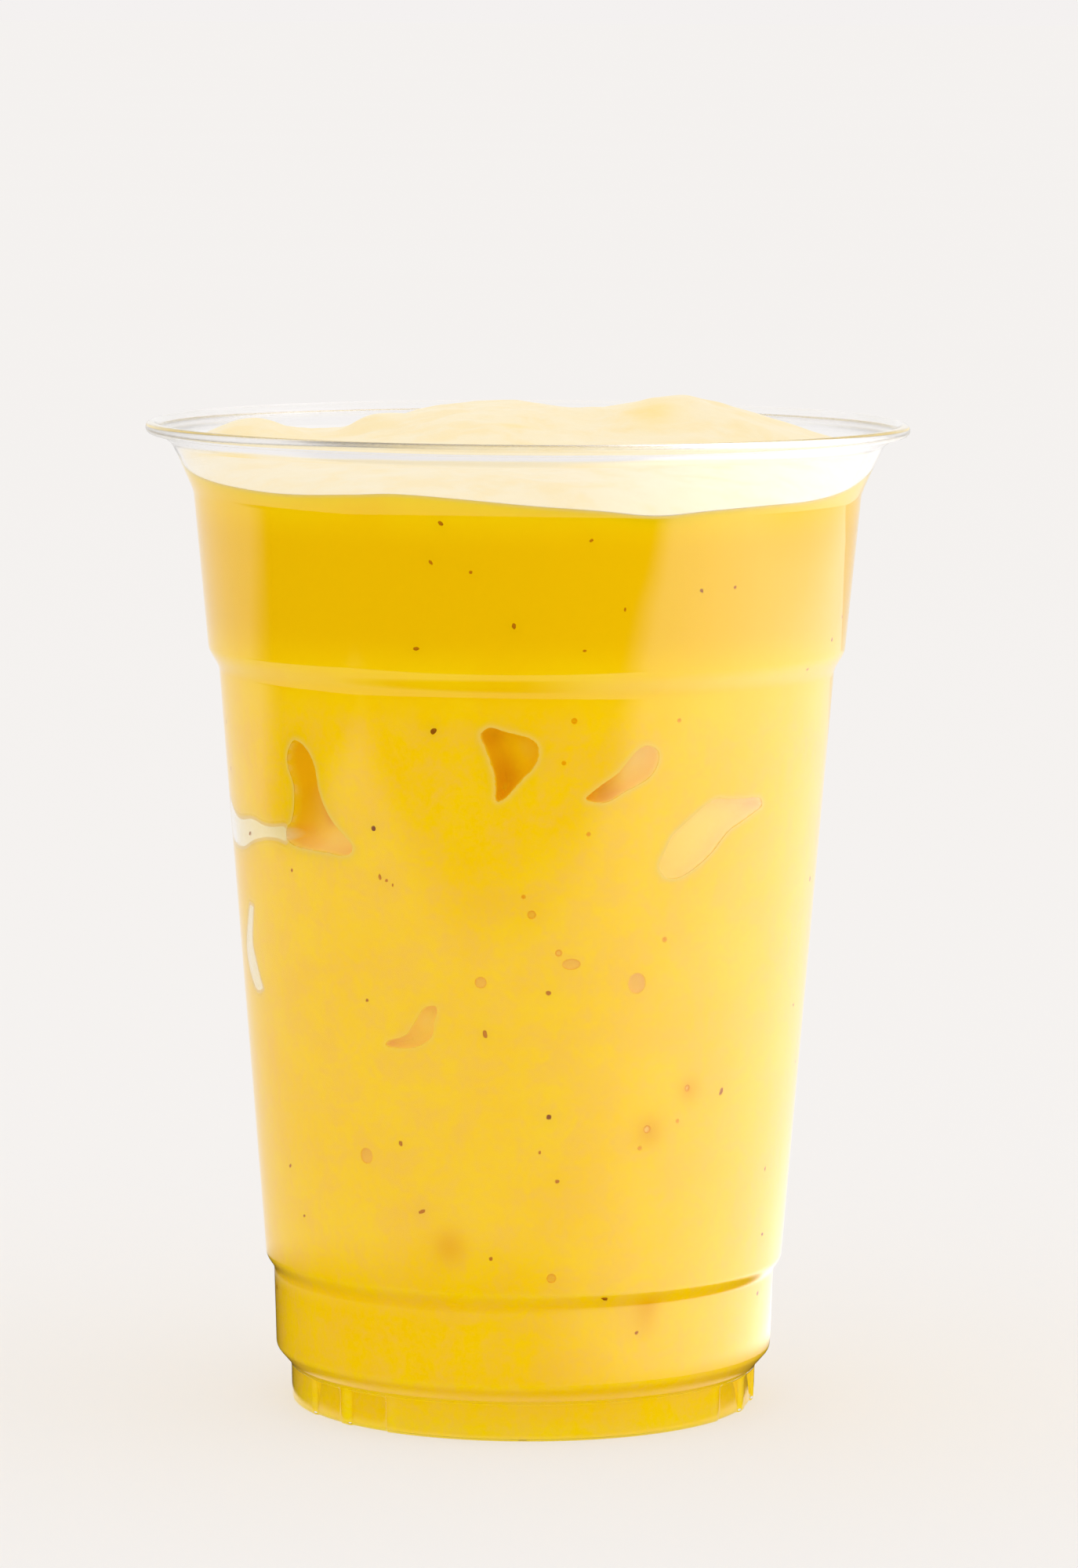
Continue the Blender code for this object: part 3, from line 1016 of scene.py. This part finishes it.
@dataclass
class Shades:
    """What each point of a mesh stores for the drink's finish."""

    # Per point: froth colour with its painted light, hollow, painted glow round hollows, and tone,
    # painted shade above zero and painted reflection below zero
    froth_and_painted_light: np.ndarray
    hollow: np.ndarray
    rim: np.ndarray
    tone: np.ndarray

    @classmethod
    def plain(cls, count: int, froth_and_painted_light: float = 0.0) -> "Shades":
        """Shades of points with nothing special but their share of froth colour and painted light.

        Args:
            count: Number of points.
            froth_and_painted_light: Share of froth colour, which is paler still as painted sheen.

        Returns:
            The shades.
        """
        return cls(np.full(count, froth_and_painted_light), np.zeros(count), np.zeros(count), np.zeros(count))

    @classmethod
    def joined(cls, parts: list["Shades"]) -> "Shades":
        """Put the shades of several runs of points one after another."""
        return cls(*(np.concatenate([getattr(part, name) for part in parts])
                     for name in ("froth_and_painted_light", "hollow", "rim", "tone")))

    def store(self, data: bpy.types.Mesh) -> None:
        """Write the shades into a mesh.

        Args:
            data: The mesh, whose points come in the same order.
        """
        places = data.attributes.new(Zone.PLACES.value, "FLOAT_COLOR", "POINT")
        ones = np.ones(len(self.froth_and_painted_light))
        places.data.foreach_set(
            "color", np.column_stack([self.froth_and_painted_light, self.hollow, self.rim, ones]).ravel())
        store_numbers(data, Zone.TONE, self.tone)


def store_numbers(data: bpy.types.Mesh, name: Zone, values: np.ndarray) -> None:
    """Store one number for each point of a mesh.

    Args:
        data: The mesh.
        name: What the number is.
        values: The numbers.
    """
    layer = data.attributes.new(name.value, "FLOAT", "POINT")
    layer.data.foreach_set("value", np.asarray(values, dtype=np.float32))


@dataclass
class Drink:
    """The drink: side with hollows, fill line and heaped top, as one closed mesh."""

    form: DrinkForm
    finish: MangoFinish = field(default_factory=MangoFinish)
    segments: int = 360
    panel: Point = (19.6, 91.2)
    row_gap: float = 0.95
    top_rings: int = 96
    degree: float = 0.62
    band: float = 1.35
    fine_gap: float = 0.45
    edge_blend: float = 0.55
    inner_offsets: tuple[float, ...] = (0.05, 0.12, 0.22, 0.38, 0.6)
    outer_offsets: tuple[float, ...] = (0.12, 0.3, 0.55, 0.9)
    pulp_spots: tuple[tuple[float, float, float], ...] = (
        (26.7, 38.7, 1.8), (35.8, 43.5, 1.4), (28.9, 16.4, 1.6), (-16.1, 24.7, 2.0),
    )
    # Painted shade on the heap's top: place across and in depth, sizes, and strength
    top_shades: tuple[tuple[float, float, float, float, float], ...] = (
        (-37.0, -3.5, 3.4, 1.7, 0.9), (15.5, 3.0, 3.2, 5.0, 0.55), (-1.5, -4.0, 2.6, 1.2, 0.4),
        (-26.0, -6.0, 4.0, 2.5, 0.35), (8.0, -12.0, 6.0, 2.0, 0.3), (26.0, -8.0, 5.0, 2.0, 0.25),
    )

    def hollows(self) -> list[Hollow]:
        """All that lies between the drink and the wall, large and small."""
        return [TALL, HEART, LEAF, LONG, SMALL, PAINTED_REFLECTION_PATCH, PAINTED_REFLECTION_STREAK,
                *(bubble(*sizes) for sizes in BUBBLES)]

    def band_points(self, loop: np.ndarray) -> np.ndarray:
        """Points beside and inside a hollow's outline.

        Args:
            loop: The outline on the unrolled wall.

        Returns:
            The points, closer to each other near the outline.
        """
        along = np.roll(loop, -1, axis=0) - np.roll(loop, 1, axis=0)
        out = np.stack([along[:, 1], -along[:, 0]], -1)
        out /= np.linalg.norm(out, axis=1)[:, None]
        after = np.roll(loop, -1, axis=0)
        area = np.sum(loop[:, 0] * after[:, 1] - loop[:, 1] * after[:, 0])
        out *= np.sign(area)
        runs = []
        for offsets, way in ((self.inner_offsets, -1.0), (self.outer_offsets, 1.0)):
            for offset in offsets:
                ring = loop + out * offset * way
                inside, distance = self.distance_to(ring, loop)
                runs.append(ring[(inside == (way < 0.0)) & (distance > offset * 0.9)])
        low, high = loop.min(axis=0), loop.max(axis=0)
        across = np.arange(low[0], high[0], self.fine_gap)
        up = np.arange(low[1], high[1], self.fine_gap)
        fine = np.stack(np.meshgrid(across, up, indexing="ij"), -1).reshape(-1, 2)
        inside, distance = self.distance_to(fine, loop)
        runs.append(fine[inside & (distance > self.inner_offsets[-1] + 0.15)])
        return np.concatenate(runs)

    def panel_mesh(self) -> tuple[np.ndarray, list[tuple[int, ...]], Shades]:
        """The part of the side between the steps, with its hollows.

        Returns:
            Points in metres, faces, and the shades of each point.
        """
        low, high = self.panel
        columns = -180.0 + np.arange(self.segments + 1) * 360.0 / self.segments
        rows = np.linspace(low, high, int((high - low) / self.row_gap) + 1)
        free = np.stack(np.meshgrid(columns * self.degree, rows, indexing="ij"), -1).reshape(-1, 2)
        loops = [(hollow, self.flatten(hollow)) for hollow in self.hollows()]
        for hollow, loop in loops:
            inside, distance = self.distance_to(free, loop)
            reach = self.outer_offsets[-1] + 0.25 if hollow.rim > 0.0 else 0.3
            free = free[~inside & (distance > reach)]
        edges = []
        fixed = []
        total = 0
        runs = [free]
        for hollow, loop in loops:
            count = len(loop)
            edges += [(total + k, total + (k + 1) % count) for k in range(count)]
            fixed.append(loop)
            total += count
            beside = self.band_points(loop)
            for other, other_loop in loops:
                if other is not hollow:
                    inside, distance = self.distance_to(beside, other_loop)
                    beside = beside[~inside & (distance > 0.12)]
            runs.append(beside)
        flat = np.concatenate(fixed + runs)
        made = geometry.delaunay_2d_cdt([Vector(p) for p in flat], edges, [], 0, 1e-5)
        flat = np.array([tuple(v) for v in made[0]])
        shades = Shades.plain(len(flat))
        depth = np.zeros(len(flat))
        for hollow, loop in loops:
            middle = (loop.min(axis=0) + loop.max(axis=0)) / 2.0
            span = np.abs(loop - middle).max(axis=0) + self.band
            near = np.flatnonzero((np.abs(flat - middle) < span).all(axis=1))
            inside, distance = self.distance_to(flat[near], loop)
            sink = np.where(inside, hollow.sink(distance), 0.0)
            depth[near] = np.maximum(depth[near], sink)
            share = np.where(inside, ease(distance / 0.10), 0.0)
            # Froth colour painted over the shallow patches as painted reflections
            if hollow.foam_and_painted_reflection > 0.0:
                share = np.where(inside, ease(distance / 0.45), 0.0)
                shades.froth_and_painted_light[near] = np.maximum(shades.froth_and_painted_light[near], hollow.foam_and_painted_reflection * share)
            else:
                shades.hollow[near] = np.maximum(shades.hollow[near], share)
            # Painted shade and painted reflection inside the hollow
            along = np.radians(flat[near, 0] / self.degree - hollow.angle)
            along *= self.form.side_radius(flat[near, 1])
            tone = hollow.tones(along, flat[near, 1] - hollow.height)
            shades.tone[near] = np.where(inside, tone, shades.tone[near])
            # Painted pale glow just outside the outline
            glow = np.where(inside, 0.0, np.exp(-(distance / 0.42) ** 2)) * hollow.rim
            shades.rim[near] = np.maximum(shades.rim[near], glow)
        radius = self.form.side_radius(flat[:, 1]) - depth
        spots = place(radius, flat[:, 0] / self.degree, flat[:, 1])
        return spots, [tuple(f) for f in made[2]], shades

    def flatten(self, hollow: Hollow) -> np.ndarray:
        """A hollow's outline on the unrolled wall.

        Args:
            hollow: The hollow.

        Returns:
            Points whose first number is the angle times the scale of the unrolled wall.
        """
        line = hollow.outline()
        height = hollow.height + line[:, 1]
        across = np.degrees(line[:, 0] / self.form.side_radius(height))
        return np.stack([(hollow.angle + across) * self.degree, height], -1)

    @staticmethod
    def distance_to(points: np.ndarray, loop: np.ndarray) -> tuple[np.ndarray, np.ndarray]:
        """Where points lie to a closed line.

        Args:
            points: Points on the unrolled wall.
            loop: The closed line.

        Returns:
            Which points are inside, and how far each is from the line.
        """
        start, end = loop, np.roll(loop, -1, axis=0)
        inside = np.zeros(len(points), bool)
        distance = np.full(len(points), 1e9)
        for a, b in zip(start, end):
            along = b - a
            t = np.clip(((points - a) @ along) / (along @ along), 0.0, 1.0)
            distance = np.minimum(distance, np.linalg.norm(points - a - t[:, None] * along, axis=1))
            crosses = (a[1] > points[:, 1]) != (b[1] > points[:, 1])
            with np.errstate(divide="ignore", invalid="ignore"):
                meets = a[0] + (points[:, 1] - a[1]) * (b[0] - a[0]) / (b[1] - a[1])
            inside ^= crosses & (points[:, 0] < meets)
        return inside, distance

    def top_relief(self, x: np.ndarray, y: np.ndarray) -> np.ndarray:
        """Soft folds and small unevenness of the heap's top.

        Args:
            x: Places across, in millimetres.
            y: Places in depth, in millimetres.

        Returns:
            Heights to add, in millimetres.
        """
        folds = np.array([noise.noise(Vector((a * 0.10, b * 0.16, 3.7))) for a, b in zip(x, y)])
        small = np.array([noise.noise(Vector((a * 0.33, b * 0.40, 9.1))) for a, b in zip(x, y)])
        return folds * 0.55 + small * 0.22

    def side_tones(self, height: np.ndarray, line: np.ndarray) -> Shades:
        """Shades of a ring of the side, turning to the froth colour, with its painted sheen, at the
        fill line.

        Args:
            height: Heights of the ring's points.
            line: Heights of the fill line above them.

        Returns:
            The shades.
        """
        shades = Shades.plain(self.segments)
        shades.froth_and_painted_light = ease((height - line + self.edge_blend) / (2.0 * self.edge_blend))
        return shades

    def lower_rings(self, angles: np.ndarray) -> tuple[list[np.ndarray], list[Shades]]:
        """The drink in the foot and up to the panel.

        Args:
            angles: Degrees round the cup.

        Returns:
            Rings of points from the bottom up, and their shades.
        """
        form, cup, low = self.form, self.form.cup, self.panel[0]
        wall = list(reversed(cup.inset(cup.wall_run(), form.sunk)))
        foot = cup.foot_radius - form.foot_sunk
        corners = [
            (cup.panel_radius * 0.5, cup.panel_rise + form.floor_sunk),
            (cup.panel_radius, cup.panel_rise + form.floor_sunk),
            (cup.stand_inner + 0.2, form.floor_sunk),
            (foot, form.floor_sunk),
            (foot, cup.chamfer[1][1] - 0.2),
            (cup.chamfer[1][0], cup.chamfer[1][1] + 0.45),
        ]
        under = rounded(corners, [0.0, 0.5, 0.3, 0.3, 0.2, 0.0], 3)
        below = [(r, z) for r, z in wall if under[-1][1] + 0.3 < z < low - 0.2]
        rings = [place(r, angles, z) for r, z in under + below]
        rings.append(place(form.side_radius(low), angles, low))
        return rings, [Shades.plain(self.segments)] * len(rings)

    def upper_rings(self, angles: np.ndarray) -> tuple[list[np.ndarray], list[Shades]]:
        """The drink above the panel: the side up to the fill line, and the heaped top.

        Args:
            angles: Degrees round the cup.

        Returns:
            Rings of points, the last one nearest the middle, and their shades.
        """
        form, cup, high = self.form, self.form.cup, self.panel[1]
        count = self.segments
        line = form.fill_height(angles)
        wall = list(reversed(cup.inset(cup.wall_run(), form.sunk)))
        neck = cup.neck[1] - 1.2
        above = [(r, z) for r, z in wall if high + 0.2 < z < neck - 0.2]
        rings = [place(form.side_radius(high), angles, high)]
        rings += [place(r, angles, z) for r, z in above]
        rings.append(place(form.side_radius(neck), angles, neck))
        tones = [Shades.plain(count)] * len(rings)
        steps = 14
        for k in range(1, steps + 1):
            height = neck + (line - neck) * k / steps
            rings.append(place(form.side_radius(height), angles, height))
            tones.append(self.side_tones(height, line))
        edge = form.side_radius(line)
        for k in range(1, self.top_rings):
            share = 1.0 - (k / self.top_rings) ** 1.35
            radius = edge * share
            spot = place(radius, angles, 0.0) / MM
            heap = form.heap_height(spot[:, 0], spot[:, 1])
            heap = heap + self.top_relief(spot[:, 0], spot[:, 1]) * float(ease((1 - share) * 9))
            height = line + (heap - line) * (1.0 - share ** form.edge_power)
            rings.append(place(radius, angles, height))
            shades = Shades.plain(count, 1.0)
            # Painted shade on the heap's top
            for x, y, across, along, amount in self.top_shades:
                away = ((spot[:, 0] - x) / across) ** 2 + ((spot[:, 1] - y) / along) ** 2
                shades.tone = np.maximum(shades.tone, amount * np.exp(-away))
            tones.append(shades)
        return rings, tones

    def build(self) -> bpy.types.Object:
        """Build the drink.

        Returns:
            The drink's object.
        """
        angles = -180.0 + np.arange(self.segments) * 360.0 / self.segments
        count = self.segments
        verts, faces, shades = self.panel_mesh()
        blocks, tones = [verts], [shades]
        total = len(verts)
        for (rings, ring_tones), top in ((self.lower_rings(angles), False),
                                         (self.upper_rings(angles), True)):
            faces.extend(ring_faces(len(rings), count, total))
            first = total + (len(rings) - 1) * count if top else total
            last = -1 if top else 0
            blocks += [*rings, rings[last].mean(axis=0)[None]]
            tones += [*ring_tones, Shades.plain(1, 1.0 if top else 0.0)]
            total += len(rings) * count
            faces.extend(fan_faces(total, first, count, not top))
            total += 1
        data = bpy.data.meshes.new("mango_drink")
        points = np.concatenate(blocks)
        data.from_pydata(points.tolist(), [], faces)
        Shades.joined(tones).store(data)
        store_numbers(data, Zone.PULP, self.pulp(points))
        mesh = bmesh.new()
        mesh.from_mesh(data)
        bmesh.ops.remove_doubles(mesh, verts=mesh.verts, dist=2e-6)
        bmesh.ops.recalc_face_normals(mesh, faces=mesh.faces)
        mesh.to_mesh(data)
        mesh.free()
        data.shade_smooth()
        data.set_sharp_from_angle(angle=math.radians(55.0))
        return new_object("mango_drink", data, self.finish.material())

    def pulp(self, points: np.ndarray) -> np.ndarray:
        """How much ripe pulp shows through at each point.

        Args:
            points: Points in metres.

        Returns:
            Shares from 0 to 1.
        """
        share = np.zeros(len(points))
        for angle, height, size in self.pulp_spots:
            spot = place(self.form.side_radius(height), angle, height)
            away = np.linalg.norm(points - spot, axis=1) / (size * MM)
            share = np.maximum(share, np.exp(-away ** 2))
        return share


@dataclass
class FruitFlecks:
    """Dark flecks of fruit that show against the wall."""

    form: DrinkForm
    finish: SpeckFinish = field(default_factory=SpeckFinish)
    seed: int = 11
    spread: int = 46
    thickness: float = 0.10
    shown: tuple[tuple[float, float, float, float], ...] = (
        (-17.1, 88.1, 0.40, 0.75), (-29.9, 75.8, 0.34, 1.0), (5.0, 41.0, 0.32, 0.85),
        (44.7, 42.8, 0.40, 0.45), (18.0, 18.2, 0.36, 0.7), (-2.2, 101.1, 0.30, 0.4),
        (-19.4, 98.1, 0.32, 0.4), (-14.5, 113.3, 0.30, 0.4), (-16.4, 108.6, 0.26, 0.25),
        (-9.5, 107.5, 0.22, 0.2), (10.7, 111.4, 0.22, 0.2), (31.1, 105.0, 0.26, 0.55),
        (38.1, 105.2, 0.22, 0.3), (16.9, 103.0, 0.20, 0.2), (10.0, 98.1, 0.20, 0.2),
        (-22.0, 28.8, 0.34, 0.3), (-7.0, 23.3, 0.24, 0.3), (-7.9, 51.2, 0.40, 0.2),
        (4.6, 56.3, 0.34, 0.3), (-33.0, 54.5, 0.22, 0.4), (-26.4, 37.1, 0.30, 0.35),
        (-51.6, 69.5, 0.24, 0.3), (3.2, 36.6, 0.20, 0.2), (6.9, 33.0, 0.26, 0.25),
        (26.4, 13.4, 0.24, 0.4), (-28.9, 69.9, 0.30, 0.15), (-27.5, 69.5, 0.20, 0.15),
        (-26.2, 69.0, 0.18, 0.2),
    )

    def build(self) -> bpy.types.Object:
        """Build all the flecks as one mesh.

        Returns:
            The flecks' object.
        """
        draw = np.random.default_rng(self.seed)
        places = list(self.shown)
        for _ in range(self.spread):
            angle = draw.uniform(55.0, 305.0)
            places.append((angle, draw.uniform(12.0, 110.0), draw.uniform(0.15, 0.36),
                           draw.uniform(0.15, 0.8)))
        mesh = bmesh.new()
        tones = []
        for angle, height, size, tone in places:
            radius = float(self.form.side_radius(height)) - 0.02
            spot = Vector(place(radius, angle, height))
            turn = Matrix.Rotation(math.radians(angle), 4, "Z")
            spin = Matrix.Rotation(draw.uniform(0.0, math.tau), 4, "Y")
            long = draw.uniform(0.7, 1.35)
            scale = Matrix.Diagonal((size * long * MM, self.thickness * MM,
                                     size / long * MM, 1.0))
            made = bmesh.ops.create_icosphere(mesh, subdivisions=2, radius=1.0)
            tones += [tone] * len(made["verts"])
            for vert in made["verts"]:
                wobble = 1.0 + 0.35 * noise.noise(vert.co * 1.7 + Vector((angle, height, 0.0)))
                vert.co = spot + (turn @ spin @ scale @ (vert.co * wobble))
        data = bpy.data.meshes.new("fruit_flecks")
        mesh.to_mesh(data)
        mesh.free()
        store_numbers(data, Zone.TONE, np.array(tones))
        data.shade_smooth()
        return new_object("fruit_flecks", data, self.finish.material())


# Studio


@dataclass(frozen=True)
class Card:
    """A sheet just above the table that shows only where something mirrors it."""

    name: str = "front_card"
    tone: tuple[float, float, float, float] = (0.03, 0.025, 0.02, 1.0)
    strength: float = 1.0
    low: Point = (-0.95, -1.6)
    high: Point = (0.60, -0.10)
    height: float = 0.0016
    slant: float = 0.2
    fade: Point = (-0.285, -0.225)

    def cover(self, x: Socket, y: Socket, z: Socket) -> Socket:
        """How much of the card is there."""
        return 1.0 - (y + x * self.slant).ramp(*self.fade)

    def sheet(self) -> tuple[list[tuple[float, float, float]], list[tuple[int, ...]]]:
        """Points and faces of the card."""
        corners = [(self.low[0], self.low[1]), (self.high[0], self.low[1]),
                   (self.high[0], self.high[1]), (self.low[0], self.high[1])]
        return [(x, y, self.height) for x, y in corners], [(0, 1, 2, 3)]

    def build(self) -> bpy.types.Object:
        """Build the card.

        Returns:
            The card's object.
        """
        verts, faces = self.sheet()
        data = bpy.data.meshes.new(self.name)
        data.from_pydata(verts, [], faces)
        made, graph = new_material(self.name)
        open_air = graph.node("ShaderNodeBsdfTransparent", {}, {"Color": (1.0, 1.0, 1.0, 1.0)})
        shine = graph.node("ShaderNodeEmission", {}, {"Color": self.tone,
                                                     "Strength": self.strength})
        share = self.cover(*graph.axes(graph.object_place()))
        share = share * graph.unscattered() * graph.mirrored()
        shader = graph.node("ShaderNodeMixShader", {}, {
            0: share, 1: open_air.outputs[0], 2: shine.outputs[0]})
        graph.node("ShaderNodeOutputMaterial", {}, {"Surface": shader.outputs[0]})
        card = new_object(self.name, data, made)
        card.visible_camera = False
        card.visible_diffuse = False
        card.visible_shadow = False
        return card


@dataclass(frozen=True)
class SideCard(Card):
    """The dark card at the left."""

    name: str = "left_card"
    low: Point = (-1.25, -0.40)
    high: Point = (-0.30, 0.30)
    height: float = 0.0018
    edge: Point = (-0.375, -0.325)
    far: Point = (0.08, 0.24)

    def cover(self, x: Socket, y: Socket, z: Socket) -> Socket:
        """How much of the card is there."""
        return (1.0 - x.ramp(*self.edge)) * (1.0 - y.ramp(*self.far))


@dataclass(frozen=True)
class WindowCard(Card):
    """The brighter side of the table, towards the window at the right."""

    name: str = "window_card"
    tone: tuple[float, float, float, float] = (1.0, 0.97, 0.95, 1.0)
    strength: float = 3.0
    low: Point = (0.0, -0.60)
    high: Point = (0.75, 0.70)
    height: float = 0.0014
    end: Point = (0.48, 0.72)
    start: Point = (0.043, 0.055)

    def cover(self, x: Socket, y: Socket, z: Socket) -> Socket:
        """How much of the card is there: most straight to the right of the cup."""
        square = x * x + y * y
        return x * x / square * square.root().ramp(*self.start) * (1.0 - x.ramp(*self.end))


@dataclass(frozen=True)
class NearCard(Card):
    """Painted shade seen only in reflections: a dark card for the shaded table close to the cup,
    which its lowest part mirrors.
    """

    name: str = "near_card"
    low: Point = (-0.12, -0.12)
    high: Point = (0.12, 0.12)
    height: float = 0.0003
    edge: Point = (0.0296, 0.0306)
    ring: Point = (0.085, 0.110)
    right: Point = (-0.010, 0.050)
    foot: Point = (0.043, 0.055)

    def cover(self, x: Socket, y: Socket, z: Socket) -> Socket:
        """How much of the card is there: a wide half at the left, and all round the foot."""
        away = (x * x + y * y).root()
        wide = (1.0 - away.ramp(*self.ring)) * (1.0 - x.ramp(*self.right))
        return wide.at_least(1.0 - away.ramp(*self.foot)) * away.ramp(*self.edge)


@dataclass
class Studio:
    """Pale table, soft lights and the surroundings that the plastic mirrors."""

    table_radius: float = 60.0
    backdrop: tuple = linear(244, 241, 240)
    dome_strength: float = 1.1
    cards: tuple[Card, ...] = (Card(), SideCard(), WindowCard(), NearCard())

    def table(self) -> None:
        """Lay the table."""
        mesh = bmesh.new()
        bmesh.ops.create_circle(mesh, cap_ends=True, segments=96, radius=self.table_radius)
        data = bpy.data.meshes.new("pale_table")
        mesh.to_mesh(data)
        mesh.free()
        new_object("pale_table", data, TableFinish().material())

    def world(self) -> None:
        """Light from all round, and the backdrop that the camera sees."""
        world = bpy.data.worlds.new("studio")
        bpy.context.scene.world = world
        world.use_nodes = True
        graph = Graph(world.node_tree)
        rays = graph.node("ShaderNodeLightPath")
        seen = graph.node("ShaderNodeBackground", {}, {"Color": self.backdrop, "Strength": 1.0})
        light = graph.node("ShaderNodeBackground", {}, {"Color": (1.0, 0.99, 0.98, 1.0),
                                                       "Strength": self.dome_strength})
        straight = graph.number(rays, "Is Camera Ray") + graph.number(rays, "Is Transmission Ray")
        mixed = graph.node("ShaderNodeMixShader", {}, {
            0: straight.at_most(1.0) * graph.unscattered(), 1: light.outputs[0],
            2: seen.outputs[0]})
        graph.node("ShaderNodeOutputWorld", {}, {"Surface": mixed.outputs[0]})

    def lamp(self, name: str, where: Colour, aim: Colour, size: Point, power: float) -> None:
        """Hang one softbox.

        Args:
            name: Its name.
            where: Its place in metres.
            aim: The point that it faces.
            size: Its width and height in metres.
            power: Its power in watts.
        """
        light = bpy.data.lights.new(name, "AREA")
        light.shape = "RECTANGLE"
        light.size, light.size_y = size
        light.energy = power
        made = bpy.data.objects.new(name, light)
        made.location = where
        made.rotation_euler = (Vector(aim) - Vector(where)).to_track_quat("-Z", "Y").to_euler()
        bpy.context.scene.collection.objects.link(made)

    def build(self) -> None:
        """Set up the table, the lights and the colours of the picture."""
        self.table()
        self.world()
        self.lamp("right_softbox", (0.9, -0.1, 0.55), (0.0, 0.0, 0.06), (0.7, 0.7), 0.6)
        for card in self.cards:
            card.build()
        scene = bpy.context.scene
        scene.view_settings.view_transform = "Standard"
        scene.view_settings.look = "None"
        scene.view_settings.exposure = 0.0
        scene.view_settings.gamma = 1.0
        scene.cycles.blur_glossy = 0.0
        scene.cycles.max_bounces = 24
        scene.cycles.transmission_bounces = 24
        scene.cycles.glossy_bounces = 12
        scene.cycles.diffuse_bounces = 8


@dataclass
class PhotoCamera:
    """The camera that the photograph's outlines and rings give."""

    distance: float = 875.37
    height: float = 175.40
    pitch: float = 6.368
    roll: float = 0.307
    focal_pixels: float = 8980.6
    aside_pixels: float = 16.592
    frame_height: float = 2000.0
    sensor: float = 36.0

    def build(self) -> bpy.types.Object:
        """Set up the camera.

        Returns:
            The camera.
        """
        data = bpy.data.cameras.new("photo_camera")
        data.sensor_fit = "AUTO"
        data.sensor_width = self.sensor
        data.lens = self.focal_pixels / self.frame_height * self.sensor
        data.clip_start, data.clip_end = 0.01, 50.0
        made = bpy.data.objects.new("photo_camera", data)
        yaw = -math.atan(self.aside_pixels / self.focal_pixels)
        turn = Matrix.Rotation(yaw, 4, "Z")
        tilt = Matrix.Rotation(math.radians(90.0 - self.pitch), 4, "X")
        lean = Matrix.Rotation(math.radians(self.roll), 4, "Z")
        spot = Matrix.Translation((0.0, -self.distance * MM, self.height * MM))
        made.matrix_world = spot @ turn @ tilt @ lean
        bpy.context.scene.collection.objects.link(made)
        bpy.context.scene.camera = made
        return made


def report(piece: bpy.types.Object) -> None:
    """Log a piece's name and size."""
    LOG.info("%s: %d points, %d faces", piece.name, len(piece.data.vertices),
             len(piece.data.polygons))


def main() -> None:
    """Build every piece, and log how many points and faces each new piece has."""
    logging.basicConfig(level=logging.INFO, format="%(message)s")
    PhotoCamera().build()
    Studio().build()
    cup_form = CupForm()
    drink_form = DrinkForm(cup_form)

    cup = CupShell(cup_form).build()
    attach(cup, "root")
    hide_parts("cup")
    report(cup)

    drink = Drink(drink_form).build()
    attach(drink, "root")
    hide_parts("smoothie")
    report(drink)

    flecks = FruitFlecks(drink_form).build()
    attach(flecks, "root")
    report(flecks)


if __name__ == "__main__":
    main()
